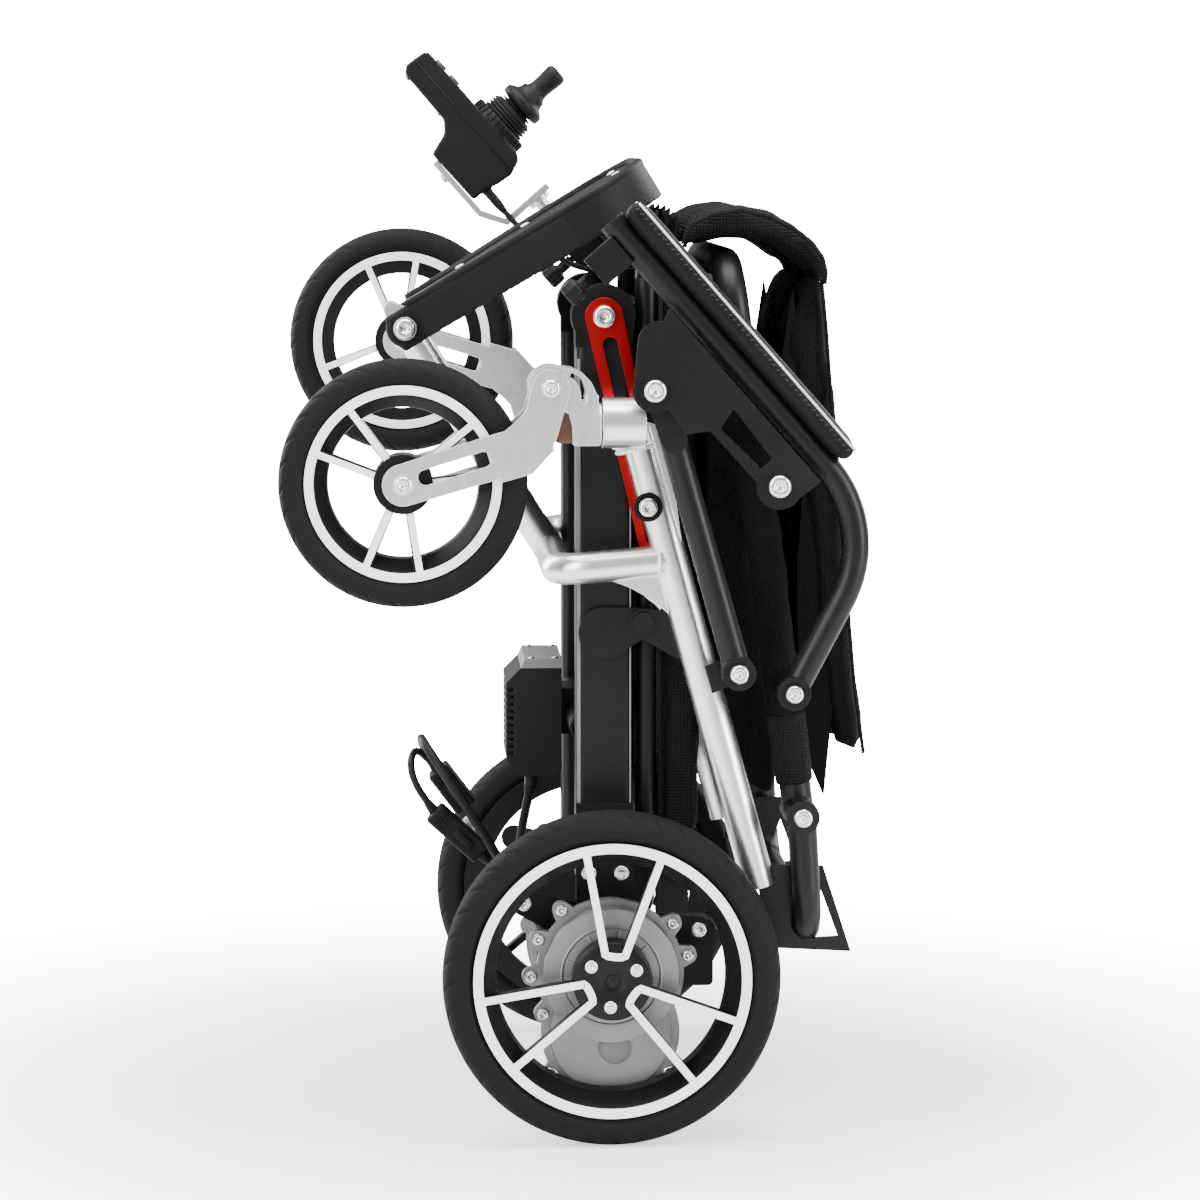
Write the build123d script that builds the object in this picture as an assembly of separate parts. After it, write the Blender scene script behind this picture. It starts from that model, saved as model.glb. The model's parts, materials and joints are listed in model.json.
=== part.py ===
"""Folding power wheelchair, stored: folded flat and standing on its two drive wheels.

Millimetres. +Z is up in the stored stance and is the way the chair drives when it is open.
+X is the chair's own up, +Y its right-hand side. Y = 0 is the chair's middle.
Points are given as (X, Z) pairs measured from the floor below the drive axle. Each piece is
moved by TO_ORIGIN as it is written, so that the origin ends up below the outline's middle.
"""
from build123d import *
import math
import os

# ---- wheels -------------------------------------------------------------------------------
DRIVE_R = 155.0            # 12 inch class tyre
DRIVE_TYRE_W = 46.0
DRIVE_SEAT_R = 127.5       # where the tyre sits on the rim
DRIVE_RING_W = 9.2         # width of the bright ring on the rim's face
DRIVE_RIM_W = 40.0
DRIVE_Y = 252.5            # middle of a drive wheel from the chair's middle
PATCH_LENGTH = 40.0        # flat that a loaded tyre stands on
SHAFT_R = 10.0
CASTER_R = 113.0           # 9 inch class tyre
CASTER_TYRE_W = 38.0
CASTER_SEAT_R = 89.5
CASTER_RING_W = 8.5
CASTER_RIM_W = 30.0
CASTER_Y = 237.0
TRAIL = 54.0               # hub behind the steering axis
CASTER_X = -188.5          # hub, in the stored chair
STEER_Z = 661.0            # height of the steering axis, which runs along X

# ---- drive frame --------------------------------------------------------------------------
BEAM_W = 53.0
BEAM_T = 38.0
BEAM_WALL = 2.5
BEAM_CORNER = 8.0
BEAM_X = -3.5
BEAM_IN = 146.0            # inner face of a beam from the chair's middle
BEAM_BOTTOM = 236.0
HEAD = (-4.0, 755.0)       # round front end of a beam, pivot of the seat and of the fold link
HEAD_R = 29.5
CROSS_R = 13.0
CROSS_LOW_Z = 262.0
CROSS_TOP_Z = 700.0
CONTROLLER_BAR = (-22.0, 370.0)
PLATE_T = 6.0              # steel and aluminium plate used all over the frame
GEAR_R = 62.0
GEAR_DROP = 56.0           # second gear stage below the axle
GEAR_LOW_R = 58.0
GEAR_FACE = 245.0          # outer face of the gear housing from the chair's middle
FLANGE_Y = 226.0           # outer face of its flange, behind the tyre
FLANGE_T = 9.0
LOBE_R = 8.5
LOBE_PCD_R = 73.0
MOTOR_R = 42.0
MOTOR_LENGTH = 100.0
MOTOR_GLAND = (-32.0, 140.0)
MOTOR_GLAND_Y = 112.0

# ---- front frame --------------------------------------------------------------------------
FOLD_X = 32.0              # fold pivot, its height follows from level ground when open
FOLD_ANGLE = 28.0
SIDE_Y = 207.0
SIDE_R = 15.5
SIDE_TOP = (24.0, 653.0)
SIDE_LOW = (138.7, 229.5)
TUBE_WALL = 2.5
NECK_R = 23.0
NECK_X = (-8.0, 31.0)
U_TUBE_R = 14.5
U_CROSS = (-47.5, 523.5)
U_LEG_Z = 533.0
U_BEND = 30.0
HANGER_R = 15.0
FOOT_HINGE = (-185.7, 739.5)
SLOT_PIN = (34.4, 583.1)
SLOT_PIN_R = 4.0
BACK_HINGE = (176.2, 297.8)
REAR_BOW_Y = 225.0
REAR_BOW_R = 13.5
REAR_BOW_LOW = (182.6, 186.5)
REAR_BEND = 42.0

# ---- seat, back and arms ------------------------------------------------------------------
RAIL_X = 36.0
RAIL_R = 10.0
RAIL_Y = 162.0
RAIL_Z = (255.0, 789.0)
SEAT_T = 40.0
BACK_Y = 190.0
BACK_R = 14.5
BACK_TOP = (109.5, 803.0)
BACK_BEND = 48.0
BACK_PAD_T = 36.0
BACK_PAD = (75.0, 455.0)   # start and end along the legs, from the back hinge
ARM_Y = 245.0
ARM_R = 12.5
ARM_ANGLE = 48.7           # slope of the armrest below the horizontal
ARM_START = (0.0, 843.0)   # front end of the armrest tube
ARM_HINGE = (165.7, 415.2)
ARM_BEND = 108.0
LINK_HINGE = (115.4, 433.8)
ARM_PLATE_HOLE = (38.1, 691.3)
ARM_PLATE_BOLT = (150.7, 604.9)
PAD_T = 21.0
PAD_W = 54.0
PAD_LENGTH = 306.0
BUSH_R = 15.5
PIN_R = 5.0
ROD_R = 7.0                # joystick rod
ROD_DROP = 28.0            # rod below the armrest tube

# ---- clearances ---------------------------------------------------------------------------
RUN = 0.06                 # radial, shaft in its hole
SIDE_GAP = 0.6             # between plates that turn against each other
SOFT_GAP = 1.0             # between cloth and frame

# ---- values that follow from those above --------------------------------------------------
AXLE_Z = math.sqrt(DRIVE_R**2 - (PATCH_LENGTH / 2) ** 2)
AXLE = (0.0, AXLE_Z)
BEAM_OUT = BEAM_IN + BEAM_T
BEAM_Y = BEAM_IN + BEAM_T / 2
BEAM_TOP = HEAD[1] - HEAD_R + 1.5
FOLD_SIN = math.sin(math.radians(FOLD_ANGLE))
FOLD_COS = math.cos(math.radians(FOLD_ANGLE))
DROP = CASTER_R - CASTER_X - DRIVE_R      # how far the casters' ground is below the wheels'
FOLD_PIVOT = (FOLD_X, AXLE_Z + (DROP + FOLD_X * (1 - FOLD_COS)) / FOLD_SIN)
SIDES = (("left", -1), ("right", 1))
X_MIN = CASTER_X - CASTER_R
X_MAX = 240.0              # back edge of the pocket flap
TO_ORIGIN = (-(X_MIN + X_MAX) / 2, 0, 0)
OUT = "parts"


# controller
CASE_X = (-91.0, -38.0)
CASE_Z = (311.0, 424.0)
CASE_HALF_Y = 57.0
LID_T = 9.0
FINS = 10
# brake levers
BRAKE = ((66.0, 98.0), (132.0, 194.0))
LEVER_HINGE = (82.0, 178.0)
# fold links
LINK_T = 5.0
LINK_HEAD_R = 17.5
LINK_TAIL_R = 14.5
LINK_SLOT_R = 6.8
LINK_TAIL = 32.0           # slot past the pin of the folded chair
# casters, forks
FORK_PIVOT = (-55.3, 32.6)      # from the steering axis
CHEEK = (17.0, 22.5)            # from the wheel's middle
ARM_PLATES = (23.2, 28.2)
BRACKET_FACE = -14.0
# footplate
FOOT_BARREL = 58.0         # half length of the hinge barrel
FOOT_LENGTH = 272.0
FOOT_ANGLE = 31.3          # above the horizontal when folded up
FOOT_UP = 18.0             # underside from the hinge line
FOOT_DOWN = 19.0           # tread edge from the hinge line
FOOT_WALL = 5.0
FOOT_CORNER = 78.0         # plan radius of the two far corners
FOOT_HALF = ((-12.0, 74.6), (14.0, 74.6), (66.0, 96.0), (135.0, 136.0), (180.0, 150.0))
# armrests
BUSH_IN = 209.0
BUSH_OUT = ARM_Y + ARM_R + 3.0
LINK_LUG_Y = 222.0
ARM_PLATE_T = 6.0
CLAMP = (10.0, 40.0)
# joystick
JOY_HALF_Y = 29.0
JOY_TOP = -14.0            # panel surface, square to the armrest
STICK_S = -125.5
BUTTON_S = (-209.0, -189.0)
BUTTON_R = 6.5
CABLE_EXIT = (-67.0, -62.0)      # end of the cable's gland
CABLE_Y = 224.0
# cables and plugs
LEAD_D = 9.0
JUMPER_D = 7.0
JOY_CABLE_D = 6.0
# (X, Y, Z) routes. Each end lies 2 mm inside the gland or plug that holds it.
MOTOR_LEAD = [(-31, -112, 138.4), (-51, -113, 165), (-70, -116, 196), (-92, -118, 229), (-112, -119, 262),
              (-133, -118, 295), (-152, -110, 324), (-166, -95, 343), (-172, -76, 351), (-172, -56, 348),
              (-170, -38, 339), (-164.5, -28, 326), (-155.2, -26, 313.6)]
JUMPER_LEAD = [(-159.5, -100, 283.7), (-172, -99, 300), (-180, -95, 315), (-183, -86, 329), (-180, -72, 337),
               (-176, -59, 337), (-170, -50, 331.5), (-163, -45, 323.5), (-155.2, -44, 313.6)]
CONTROLLER_LEAD = [(-117.5, -100, 245.3), (-105, -100, 234), (-94, -94, 223), (-86, -82, 214),
                   (-83, -66, 210.5), (-81, -50, 215.5), (-79, -38, 227.5), (-77, -31, 242.5),
                   (-75, -29, 259.5), (-71, -29.5, 279.5), (-66, -30, 301)]
# (s, Y, n) route beside the armrest
JOYSTICK_CABLE = [(-69, 224, -62), (-46, 224, -62.5), (-24, 223, -61), (-2, 222, -57), (20, 223, -50),
                  (38, 227, -41), (50, 234, -31), (57, 241, -20), (60, 245, -10.5)]
PLUGS = (((-157, 316), (-129, 279), 11.0, -54.0, -16.0), ((-161, 285), (-116, 244), 11.0, -109.0, -91.0))
CONTACT = ((-128, 277), (-115, 248), 5.0, -84.0)
CASE_GLAND = (-66.0, -30.0)


# ---- drawing helpers ----------------------------------------------------------------------
def slab(sketch, y_a, y_b):
    """An (X, Z) outline pushed out from y_a to y_b."""
    low, high = min(y_a, y_b), max(y_a, y_b)
    plane = Plane((0, high, 0), x_dir=(1, 0, 0), z_dir=(0, -1, 0))
    return extrude(plane * sketch, high - low)


def side_slab(sketch, side, inner, outer):
    """The same on one side of the chair, between two distances from its middle."""
    return slab(sketch, side * inner, side * outer)


def disc(point, radius):
    return Pos(*point) * Circle(radius)


def pin(point, radius, side, inner, outer):
    return side_slab(disc(point, radius), side, inner, outer)


def belt(a, b, r_a, r_b):
    """Outline of two discs and the straight belt round them."""
    return make_hull((disc(a, r_a) + disc(b, r_b)).edges())


def outline(points):
    return make_face(Polyline(*points, close=True))


def spread(point, y):
    return (point[0], y, point[1])


def rod(points, radius, bends=()):
    """A round bar along straight runs, with one bend radius for each corner."""
    if len(points) == 2:
        path = Line(*points)
    else:
        path = FilletPolyline(*points, radius=list(bends))
    return sweep(Plane(path @ 0, z_dir=path % 0) * Circle(radius), path=path)


def arm_point(s, n):
    """A point given along (s) and square to (n) the armrest tube."""
    a = math.radians(ARM_ANGLE)
    return (
        ARM_START[0] + s * math.cos(a) + n * math.sin(a),
        ARM_START[1] - s * math.sin(a) + n * math.cos(a),
    )


def arm_box(s, n):
    """Outline of a box in the armrest's own directions."""
    return outline([arm_point(s[0], n[0]), arm_point(s[1], n[0]),
                    arm_point(s[1], n[1]), arm_point(s[0], n[1])])


def arm_bar(s, n, radius, y):
    """A round bar along the armrest's direction, from s[0] to s[1]."""
    return rod([spread(arm_point(s[0], n), y), spread(arm_point(s[1], n), y)], radius)


def write(name, *shapes):
    """Write one node. Everything in it is a separate, closed solid."""
    found = [s.transformed(offset=TO_ORIGIN) for shape in shapes for s in shape.solids()]
    body = found[0] if len(found) == 1 else Compound(found)
    export_step(body, os.path.join(OUT, name + ".step"))


# ---- wheels -------------------------------------------------------------------------------
def round_wheel(profile, centre, y):
    """Turn an (r, offset) outline about a Y axis through centre."""
    plane = Plane((centre[0], y, centre[1]), x_dir=(1, 0, 0), z_dir=(0, 0, 1))
    return revolve(plane * profile, axis=Axis((centre[0], y, centre[1]), (0, 1, 0)))


def tyre(radius, seat_r, width, centre, y):
    half = width / 2 * 0.97
    seat = half * 0.8
    bulge = seat_r + (radius - seat_r) * 0.55
    shoulder = (radius - 5.0, half * 0.72)
    edge = [
        Line((seat_r, -seat), (seat_r, seat)),
        ThreePointArc((seat_r, seat), (bulge, half), shoulder),
        ThreePointArc(shoulder, (radius, 0), (shoulder[0], -shoulder[1])),
        ThreePointArc((shoulder[0], -shoulder[1]), (bulge, -half), (seat_r, -seat)),
    ]
    return round_wheel(make_face(edge), centre, y)


def rim_ring(seat_r, ring_w, width, side):
    """Barrel of a cast wheel: wide at its open face, narrow at the back."""
    half = width / 2 * side
    face_r = seat_r - ring_w
    return outline([
        (seat_r, half), (face_r, half), (face_r - 2.0, half * 0.86),
        (face_r - 12.0, -half * 0.1), (face_r - 13.0, -half), (seat_r, -half),
    ])


def spoke_pair(centre_angle, half_angle, inner_r, outer_r, width):
    """Outline of a V of two spokes with a rounded foot on the hub."""
    arms = Sketch()
    foot = []
    for turn in (-1, 1):
        a = math.radians(centre_angle + turn * half_angle)
        b = math.radians(centre_angle + turn * half_angle * 1.25)
        tip = (outer_r * math.cos(a), outer_r * math.sin(a))
        root = (inner_r * math.cos(b), inner_r * math.sin(b))
        foot.append(root)
        arms += belt(root, tip, width / 2, width / 2)
    return arms + belt(foot[0], foot[1], width / 2, width / 2)


def cast_rim(seat_r, ring_w, width, hub_r, hub, angles, centre, y, side, bore_r):
    """Rim, three V-shaped spoke pairs and hub disc of a cast wheel, as one solid."""
    ring = round_wheel(rim_ring(seat_r, ring_w, width, side), centre, y)
    half = width / 2
    face = Sketch()
    for angle in angles:
        face += spoke_pair(angle, 16.5, hub_r * 0.7, seat_r - ring_w / 2, 7.0)
    spokes = slab(Pos(*centre) * face, y + side * (half - 16.0), y + side * (half - 0.5))
    disc_hub = slab(disc(centre, hub_r), y + side * hub[0], y + side * hub[1])
    bore = slab(disc(centre, bore_r), y - 60.0, y + 60.0)
    return (ring + spokes + disc_hub) - bore


def drive_wheel(name, side):
    y = side * DRIVE_Y
    hub_in = GEAR_FACE + 3.0 - DRIVE_Y
    body = tyre(DRIVE_R, DRIVE_SEAT_R, DRIVE_TYRE_W, AXLE, y)
    floor = Pos(0, y, -10.0) * Box(2 * DRIVE_R, 2 * DRIVE_TYRE_W, 20.0)
    write("drive_tyre_" + name, body - floor)
    rim = cast_rim(DRIVE_SEAT_R, DRIVE_RING_W, DRIVE_RIM_W, 36.5,
                   (hub_in, DRIVE_RIM_W / 2 - 4.0), (85, 205, 325), AXLE, y, side, SHAFT_R)
    write("drive_rim_" + name, rim)
    shaft = pin(AXLE, SHAFT_R, side, GEAR_FACE - 25.0, DRIVE_Y + DRIVE_RIM_W / 2 - 5.0)
    write("drive_shaft_" + name, shaft)


# ---- drive frame --------------------------------------------------------------------------
def side_beam(side):
    shell = RectangleRounded(BEAM_W, BEAM_T, BEAM_CORNER)
    inside = RectangleRounded(BEAM_W - 2 * BEAM_WALL, BEAM_T - 2 * BEAM_WALL,
                              BEAM_CORNER - BEAM_WALL)
    beam = extrude(shell - inside, BEAM_TOP - BEAM_BOTTOM)
    beam = Pos(BEAM_X, side * BEAM_Y, BEAM_BOTTOM) * beam
    ear = belt((BEAM_X, FOLD_PIVOT[1] - 10.0), FOLD_PIVOT, 24.0, 13.0)
    lug = side_slab(ear, side, BEAM_OUT, BEAM_OUT + PLATE_T)
    return beam + lug + pin(FOLD_PIVOT, 6.0, side, BEAM_OUT, lug_outer() + 3.5) \
        + pin(FOLD_PIVOT, 10.0, side, lug_outer() + SIDE_GAP, lug_outer() + 3.5)


def lug_outer():
    """Outer face of the front frame's fold lug, which turns beside the beam's own lug."""
    return BEAM_OUT + 2 * PLATE_T + SIDE_GAP


def end_cap(side):
    neck = Pos(BEAM_X, (BEAM_TOP + HEAD[1]) / 2) * Rectangle(BEAM_W, HEAD[1] - BEAM_TOP)
    below = Pos(BEAM_X, BEAM_TOP - HEAD_R) * Rectangle(3 * HEAD_R, 2 * HEAD_R)
    cap = side_slab(disc(HEAD, HEAD_R) + neck - below, side, BEAM_IN, BEAM_OUT)
    plug = extrude(RectangleRounded(BEAM_W - 2 * BEAM_WALL - 0.4,
                                    BEAM_T - 2 * BEAM_WALL - 0.4, 5.0), 24.0)
    return cap + Pos(BEAM_X, side * BEAM_Y, BEAM_TOP - 24.0) * plug


def battery(side):
    pack = Box(BEAM_W - 2 * BEAM_WALL - 1.0, BEAM_T - 2 * BEAM_WALL - 1.0, 420.0)
    return Pos(BEAM_X, side * BEAM_Y, BEAM_BOTTOM + 230.0) * fillet(pack.edges().filter_by(Axis.Z), 5.5)


def cross_tubes():
    bars = [rod([(BEAM_X, -BEAM_IN, z), (BEAM_X, BEAM_IN, z)], CROSS_R)
            - rod([(BEAM_X, -BEAM_IN, z), (BEAM_X, BEAM_IN, z)], CROSS_R - TUBE_WALL)
            for z in (CROSS_LOW_Z, CROSS_TOP_Z)]
    x, z = CONTROLLER_BAR
    bar = rod([(x, -BEAM_IN, z), (x, BEAM_IN, z)], 12.0)
    saddle = Pos((x + CASE_X[1]) / 2, 0, z) * Box(x - CASE_X[1], 60.0, 44.0)
    bore = rod([(x, -BEAM_IN, z), (x, BEAM_IN, z)], 12.0 - TUBE_WALL)
    return bars + [(bar + saddle) - bore]


def controller_case():
    """Finned power unit: a chamfered block with cooling slots down its outer side."""
    low, high = CASE_X
    z_low, z_high = CASE_Z[0], CASE_Z[1] - LID_T
    side = outline([(low, z_low + 16), (low + 14, z_low), (high - 6, z_low), (high, z_low + 6),
                    (high, z_high), (low + 14, z_high), (low, z_high - 14)])
    case = slab(side, -CASE_HALF_Y, CASE_HALF_Y)
    pitch = (z_high - z_low - 36.0) / FINS
    for i in range(FINS):
        z = z_low + 22.0 + pitch * i
        case -= Pos(low + 4.0, 0, z) * Box(8.0, 2 * CASE_HALF_Y + 2, pitch * 0.45)
    x, y = CASE_GLAND
    return case + rod([(x, y, z_low - 12.0), (x, y, z_low + 10.0)], 7.0)


def controller_lid():
    low, high = CASE_X
    z_low, z_high = CASE_Z[1] - LID_T, CASE_Z[1]
    side = outline([(low + 14, z_low), (high, z_low), (high, z_high), (low + 18, z_high)])
    return slab(side, -CASE_HALF_Y, CASE_HALF_Y)


def gear_outline(extra):
    low = (0.0, AXLE_Z - GEAR_DROP)
    return disc(AXLE, GEAR_R + extra) + disc(low, GEAR_LOW_R + extra)


def lobes(centre, radius, angles):
    """Screw lobes on the edge of the housing's flange."""
    shape = Sketch()
    for angle in angles:
        a = math.radians(angle)
        spot = (centre[0] + radius * math.cos(a), centre[1] + radius * math.sin(a))
        shape += belt(spot, along(spot, centre, 15.0), LOBE_R, 13.0)
    return shape


def gear_housing(side):
    """Two-stage gear housing: a turned face, a flange with screw lobes and a deep back."""
    low = (0.0, AXLE_Z - GEAR_DROP)
    body = side_slab(gear_outline(2.0), side, BEAM_OUT + PLATE_T, FLANGE_Y - FLANGE_T)
    flange = gear_outline(6.0) + lobes(AXLE, LOBE_PCD_R, (12, 38, 128, 155, 183, 212))
    flange += lobes(low, 66.0, (-35, 215, 250, 290))
    body += side_slab(flange, side, FLANGE_Y - FLANGE_T, FLANGE_Y)
    body += pin(AXLE, GEAR_R, side, FLANGE_Y, GEAR_FACE)
    body += pin(low, GEAR_LOW_R - 2.0, side, FLANGE_Y, FLANGE_Y + 3.0)
    body += pin((4.0, low[1] - 14.0), 15.0, side, FLANGE_Y, FLANGE_Y + 6.0)
    return body - pin(AXLE, SHAFT_R + RUN, side, GEAR_FACE - 26.0, GEAR_FACE + 1.0)


def motor_can(side):
    """Motor with its turned end cap and the gland of its lead."""
    low = (0.0, AXLE_Z - GEAR_DROP)
    can = pin(low, MOTOR_R, side, BEAM_OUT - MOTOR_LENGTH, BEAM_OUT)
    can += pin(low, MOTOR_R - 8.0, side, BEAM_OUT - MOTOR_LENGTH - 10.0, BEAM_OUT - MOTOR_LENGTH)
    y = side * MOTOR_GLAND_Y
    return can + rod([spread(low, y), spread(MOTOR_GLAND, y)], 7.0)


def motor_plate(side):
    """Bracket that carries gear housing and motor on the beam's lower end."""
    low = (0.0, AXLE_Z - GEAR_DROP)
    shape = disc(AXLE, GEAR_R + 2.0) + disc(low, GEAR_LOW_R - 4.0)
    shape += Pos(BEAM_X, 250.0) * Rectangle(BEAM_W, 110.0)
    shape += belt((-78.0, 212.0), (-20.0, 190.0), 12.0, 20.0)
    shape += belt((84.0, 186.0), (20.0, 180.0), 12.0, 24.0)
    return side_slab(shape, side, BEAM_OUT, BEAM_OUT + PLATE_T)


def brake_box(side):
    (x0, x1), (z0, z1) = BRAKE
    shape = Pos((x0 + x1) / 2, (z0 + z1) / 2) * RectangleRounded(x1 - x0, z1 - z0, 5.0)
    box = side_slab(shape, side, BEAM_OUT - 34.0, BEAM_OUT)
    return box + pin(LEVER_HINGE, 4.0, side, BEAM_OUT - 44.0, BEAM_OUT - 34.0)


def brake_lever(side):
    """Hand lever that lets the motor free-wheel."""
    tip = (LEVER_HINGE[0] + 38.0, LEVER_HINGE[1] + 26.0)
    arm = side_slab(belt(LEVER_HINGE, tip, 8.0, 6.5), side, BEAM_OUT - 41.0, BEAM_OUT - 34.5)
    grip = pin(tip, 6.5, side, BEAM_OUT - 52.0, BEAM_OUT - 38.0)
    return (arm + grip) - pin(LEVER_HINGE, 4.0 + RUN, side, BEAM_OUT - 50.0, BEAM_OUT)


def drive_frame_bolts():
    """Pivot bolts of the fold links and of the seat frame, on the beams' round ends."""
    parts = []
    for _, side in SIDES:
        link_face = BEAM_OUT + 1.0 + LINK_T
        parts.append(pin(HEAD, 6.0, side, BEAM_OUT, link_face + 1.0)
                     + pin(HEAD, 9.0, side, link_face + SIDE_GAP, link_face + 5.0))
        parts.append(pin(HEAD, 6.0, side, BEAM_IN - 12.0, BEAM_IN)
                     + pin(HEAD, 9.0, side, BEAM_IN - 12.0, BEAM_IN - 1.0 - PLATE_T - SIDE_GAP))
    return parts


# ---- fold links and seat ------------------------------------------------------------------


def along(a, b, distance):
    """The point that far from a towards b."""
    length = math.dist(a, b)
    return (a[0] + (b[0] - a[0]) * distance / length, a[1] + (b[1] - a[1]) * distance / length)


def fold_link(side):
    reach = math.dist(HEAD, SLOT_PIN) + LINK_TAIL
    tail = along(HEAD, SLOT_PIN, reach)
    slot = belt(along(HEAD, SLOT_PIN, 26.0), tail, LINK_SLOT_R, LINK_SLOT_R)
    shape = belt(HEAD, tail, LINK_HEAD_R, LINK_TAIL_R) - slot - disc(HEAD, 6.0 + RUN)
    return side_slab(shape, side, BEAM_OUT + 1.0, BEAM_OUT + 1.0 + LINK_T)


def seat_frame():
    """Two rails and two cross bars, hung from the beams' round ends by a pair of lugs."""
    frame = Part()
    for _, side in SIDES:
        frame += rod([(RAIL_X, side * RAIL_Y, RAIL_Z[0]), (RAIL_X, side * RAIL_Y, RAIL_Z[1])], RAIL_R)
        ear = belt(HEAD, (RAIL_X, HEAD[1]), 13.0, 10.0) - disc(HEAD, 6.0 + RUN)
        frame += side_slab(ear, side, BEAM_IN - 1.0 - PLATE_T, BEAM_IN - 1.0)
    for z in (RAIL_Z[0] + 25.0, HEAD[1]):
        frame += rod([(RAIL_X, -RAIL_Y, z), (RAIL_X, RAIL_Y, z)], 9.0)
    bores = [rod([(RAIL_X, side * RAIL_Y, RAIL_Z[0] - 1), (RAIL_X, side * RAIL_Y, RAIL_Z[1] - 3)],
                 RAIL_R - 2.0) for _, side in SIDES]
    for bore in bores:
        frame -= bore
    return frame


def seat_sling():
    """Seat upholstery on the rails, with its loose front hem gathered above them."""
    x0 = RAIL_X + RAIL_R + 0.2
    half = RAIL_Y + RAIL_R
    body = Pos(x0 + SEAT_T / 2, 0, 530.0) * Box(SEAT_T, 2 * half, 536.0)
    hem = Pos(x0 + 9.0, 0, 824.0) * Box(30.0, 2 * half - 40.0, 60.0)
    return fillet(body.edges().filter_by(Axis.Y), 12.0) + fillet(hem.edges().filter_by(Axis.Y), 10.0)


# ---- front frame --------------------------------------------------------------------------
def side_x(z):
    """X of a side tube's centre line at height z."""
    run = (z - SIDE_TOP[1]) / (SIDE_LOW[1] - SIDE_TOP[1])
    return SIDE_TOP[0] + (SIDE_LOW[0] - SIDE_TOP[0]) * run


def side_tube(side, radius):
    return rod([spread(SIDE_TOP, side * SIDE_Y), spread(SIDE_LOW, side * SIDE_Y)], radius)


def neck(side, radius, x):
    return rod([(x[0], side * CASTER_Y, STEER_Z), (x[1], side * CASTER_Y, STEER_Z)], radius)


def u_tube_path(cut):
    x = side_x(U_LEG_Z) - cut
    x_cross, z_cross = U_CROSS
    return [(x, -SIDE_Y, U_LEG_Z), (x_cross, -SIDE_Y, z_cross), (x_cross, SIDE_Y, z_cross),
            (x, SIDE_Y, U_LEG_Z)]


def front_frame_side(side):
    """Side tube with its steering neck, welded gussets and the bolt hole of the slot pin."""
    frame = side_tube(side, SIDE_R) + neck(side, NECK_R, NECK_X)
    web = outline([(side_x(600) + 4, 600), (side_x(545) + 13, 545), (side_x(640) + 24, 655),
                   (NECK_X[1], STEER_Z)])
    frame += side_slab(web, side, SIDE_Y + 2.0, SIDE_Y + 8.0)
    arc = [Line((side_x(520) - 6, 520), (-10.0, 517.0)),
           ThreePointArc((-10.0, 517.0), (22.0, 506.0), (side_x(478) - 12, 478)),
           Line((side_x(478) - 12, 478), (side_x(520) - 6, 520))]
    frame += side_slab(make_face(arc), side, SIDE_Y - 3.0, SIDE_Y + 3.0)
    frame -= rod([spread(along(SIDE_TOP, SIDE_LOW, 30.0), side * SIDE_Y),
                  spread(along(SIDE_LOW, SIDE_TOP, 3.0), side * SIDE_Y)], SIDE_R - TUBE_WALL)
    frame -= neck(side, SHAFT_R + RUN, (NECK_X[0] - 1, NECK_X[1] + 1))
    frame -= pin(SLOT_PIN, SLOT_PIN_R + RUN, side, SIDE_Y - 30.0, SIDE_Y + 30.0)
    return frame - rod(u_tube_path(0.0), U_TUBE_R, (U_BEND, U_BEND))


def u_tube_and_hanger():
    """Cross tube below the seat with the single footrest hanger and its hinge barrel."""
    path = u_tube_path(0.0)
    low = (U_CROSS[0], 0, U_CROSS[1])
    top = spread(FOOT_HINGE, 0)
    shell = rod(path, U_TUBE_R, (U_BEND, U_BEND)) + rod([low, top], HANGER_R)
    shell += pin(FOOT_HINGE, 14.0, 1, -FOOT_BARREL, FOOT_BARREL)
    stop = belt(FOOT_HINGE, (FOOT_HINGE[0] - 13.0, FOOT_HINGE[1] + 16.0), 15.0, 7.0)
    for y in (-24.0, 24.0):
        shell += slab(stop, y - 4.0, y + 4.0)
    shell -= rod(path, U_TUBE_R - TUBE_WALL, (U_BEND, U_BEND))
    shell -= rod([low, spread(along(FOOT_HINGE, U_CROSS, 18.0), 0)], HANGER_R - TUBE_WALL)
    shell -= pin(FOOT_HINGE, PIN_R + RUN, 1, -FOOT_BARREL - 1, FOOT_BARREL + 1)
    cable_slot = Pos(*spread(along(U_CROSS, FOOT_HINGE, 50.0), 0)) * Box(60.0, 7.0, 16.0)
    return shell - cable_slot


def rear_bow():
    """Black bow behind the seat that carries the back hinge, with its gusset plates."""
    points = [spread(BACK_HINGE, -REAR_BOW_Y), spread(REAR_BOW_LOW, -REAR_BOW_Y),
              spread(REAR_BOW_LOW, REAR_BOW_Y), spread(BACK_HINGE, REAR_BOW_Y)]
    bow = rod(points, REAR_BOW_R, (REAR_BEND, REAR_BEND))
    inner = rod(points, REAR_BOW_R - TUBE_WALL, (REAR_BEND, REAR_BEND))
    plate = outline([(133, 250), (198, 248), (224, 168), (150, 172)])
    window = outline([(196, 226), (212, 182), (178, 180)])
    boss_in = BACK_Y + BACK_R + SIDE_GAP
    for _, side in SIDES:
        bow += pin(BACK_HINGE, BUSH_R, side, boss_in, REAR_BOW_Y + REAR_BOW_R + 0.8)
        bow += side_slab(plate - window, side, SIDE_Y - 3.0, SIDE_Y + 3.0)
    for _, side in SIDES:
        bow -= side_tube(side, SIDE_R)
    bow -= inner
    for _, side in SIDES:
        bow += pin(BACK_HINGE, 6.0, side, BACK_Y - 8.0, REAR_BOW_Y + REAR_BOW_R + 0.4)
        bow += pin(BACK_HINGE, 11.0, side, boss_in, REAR_BOW_Y + REAR_BOW_R + 2.0)
    return bow


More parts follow.
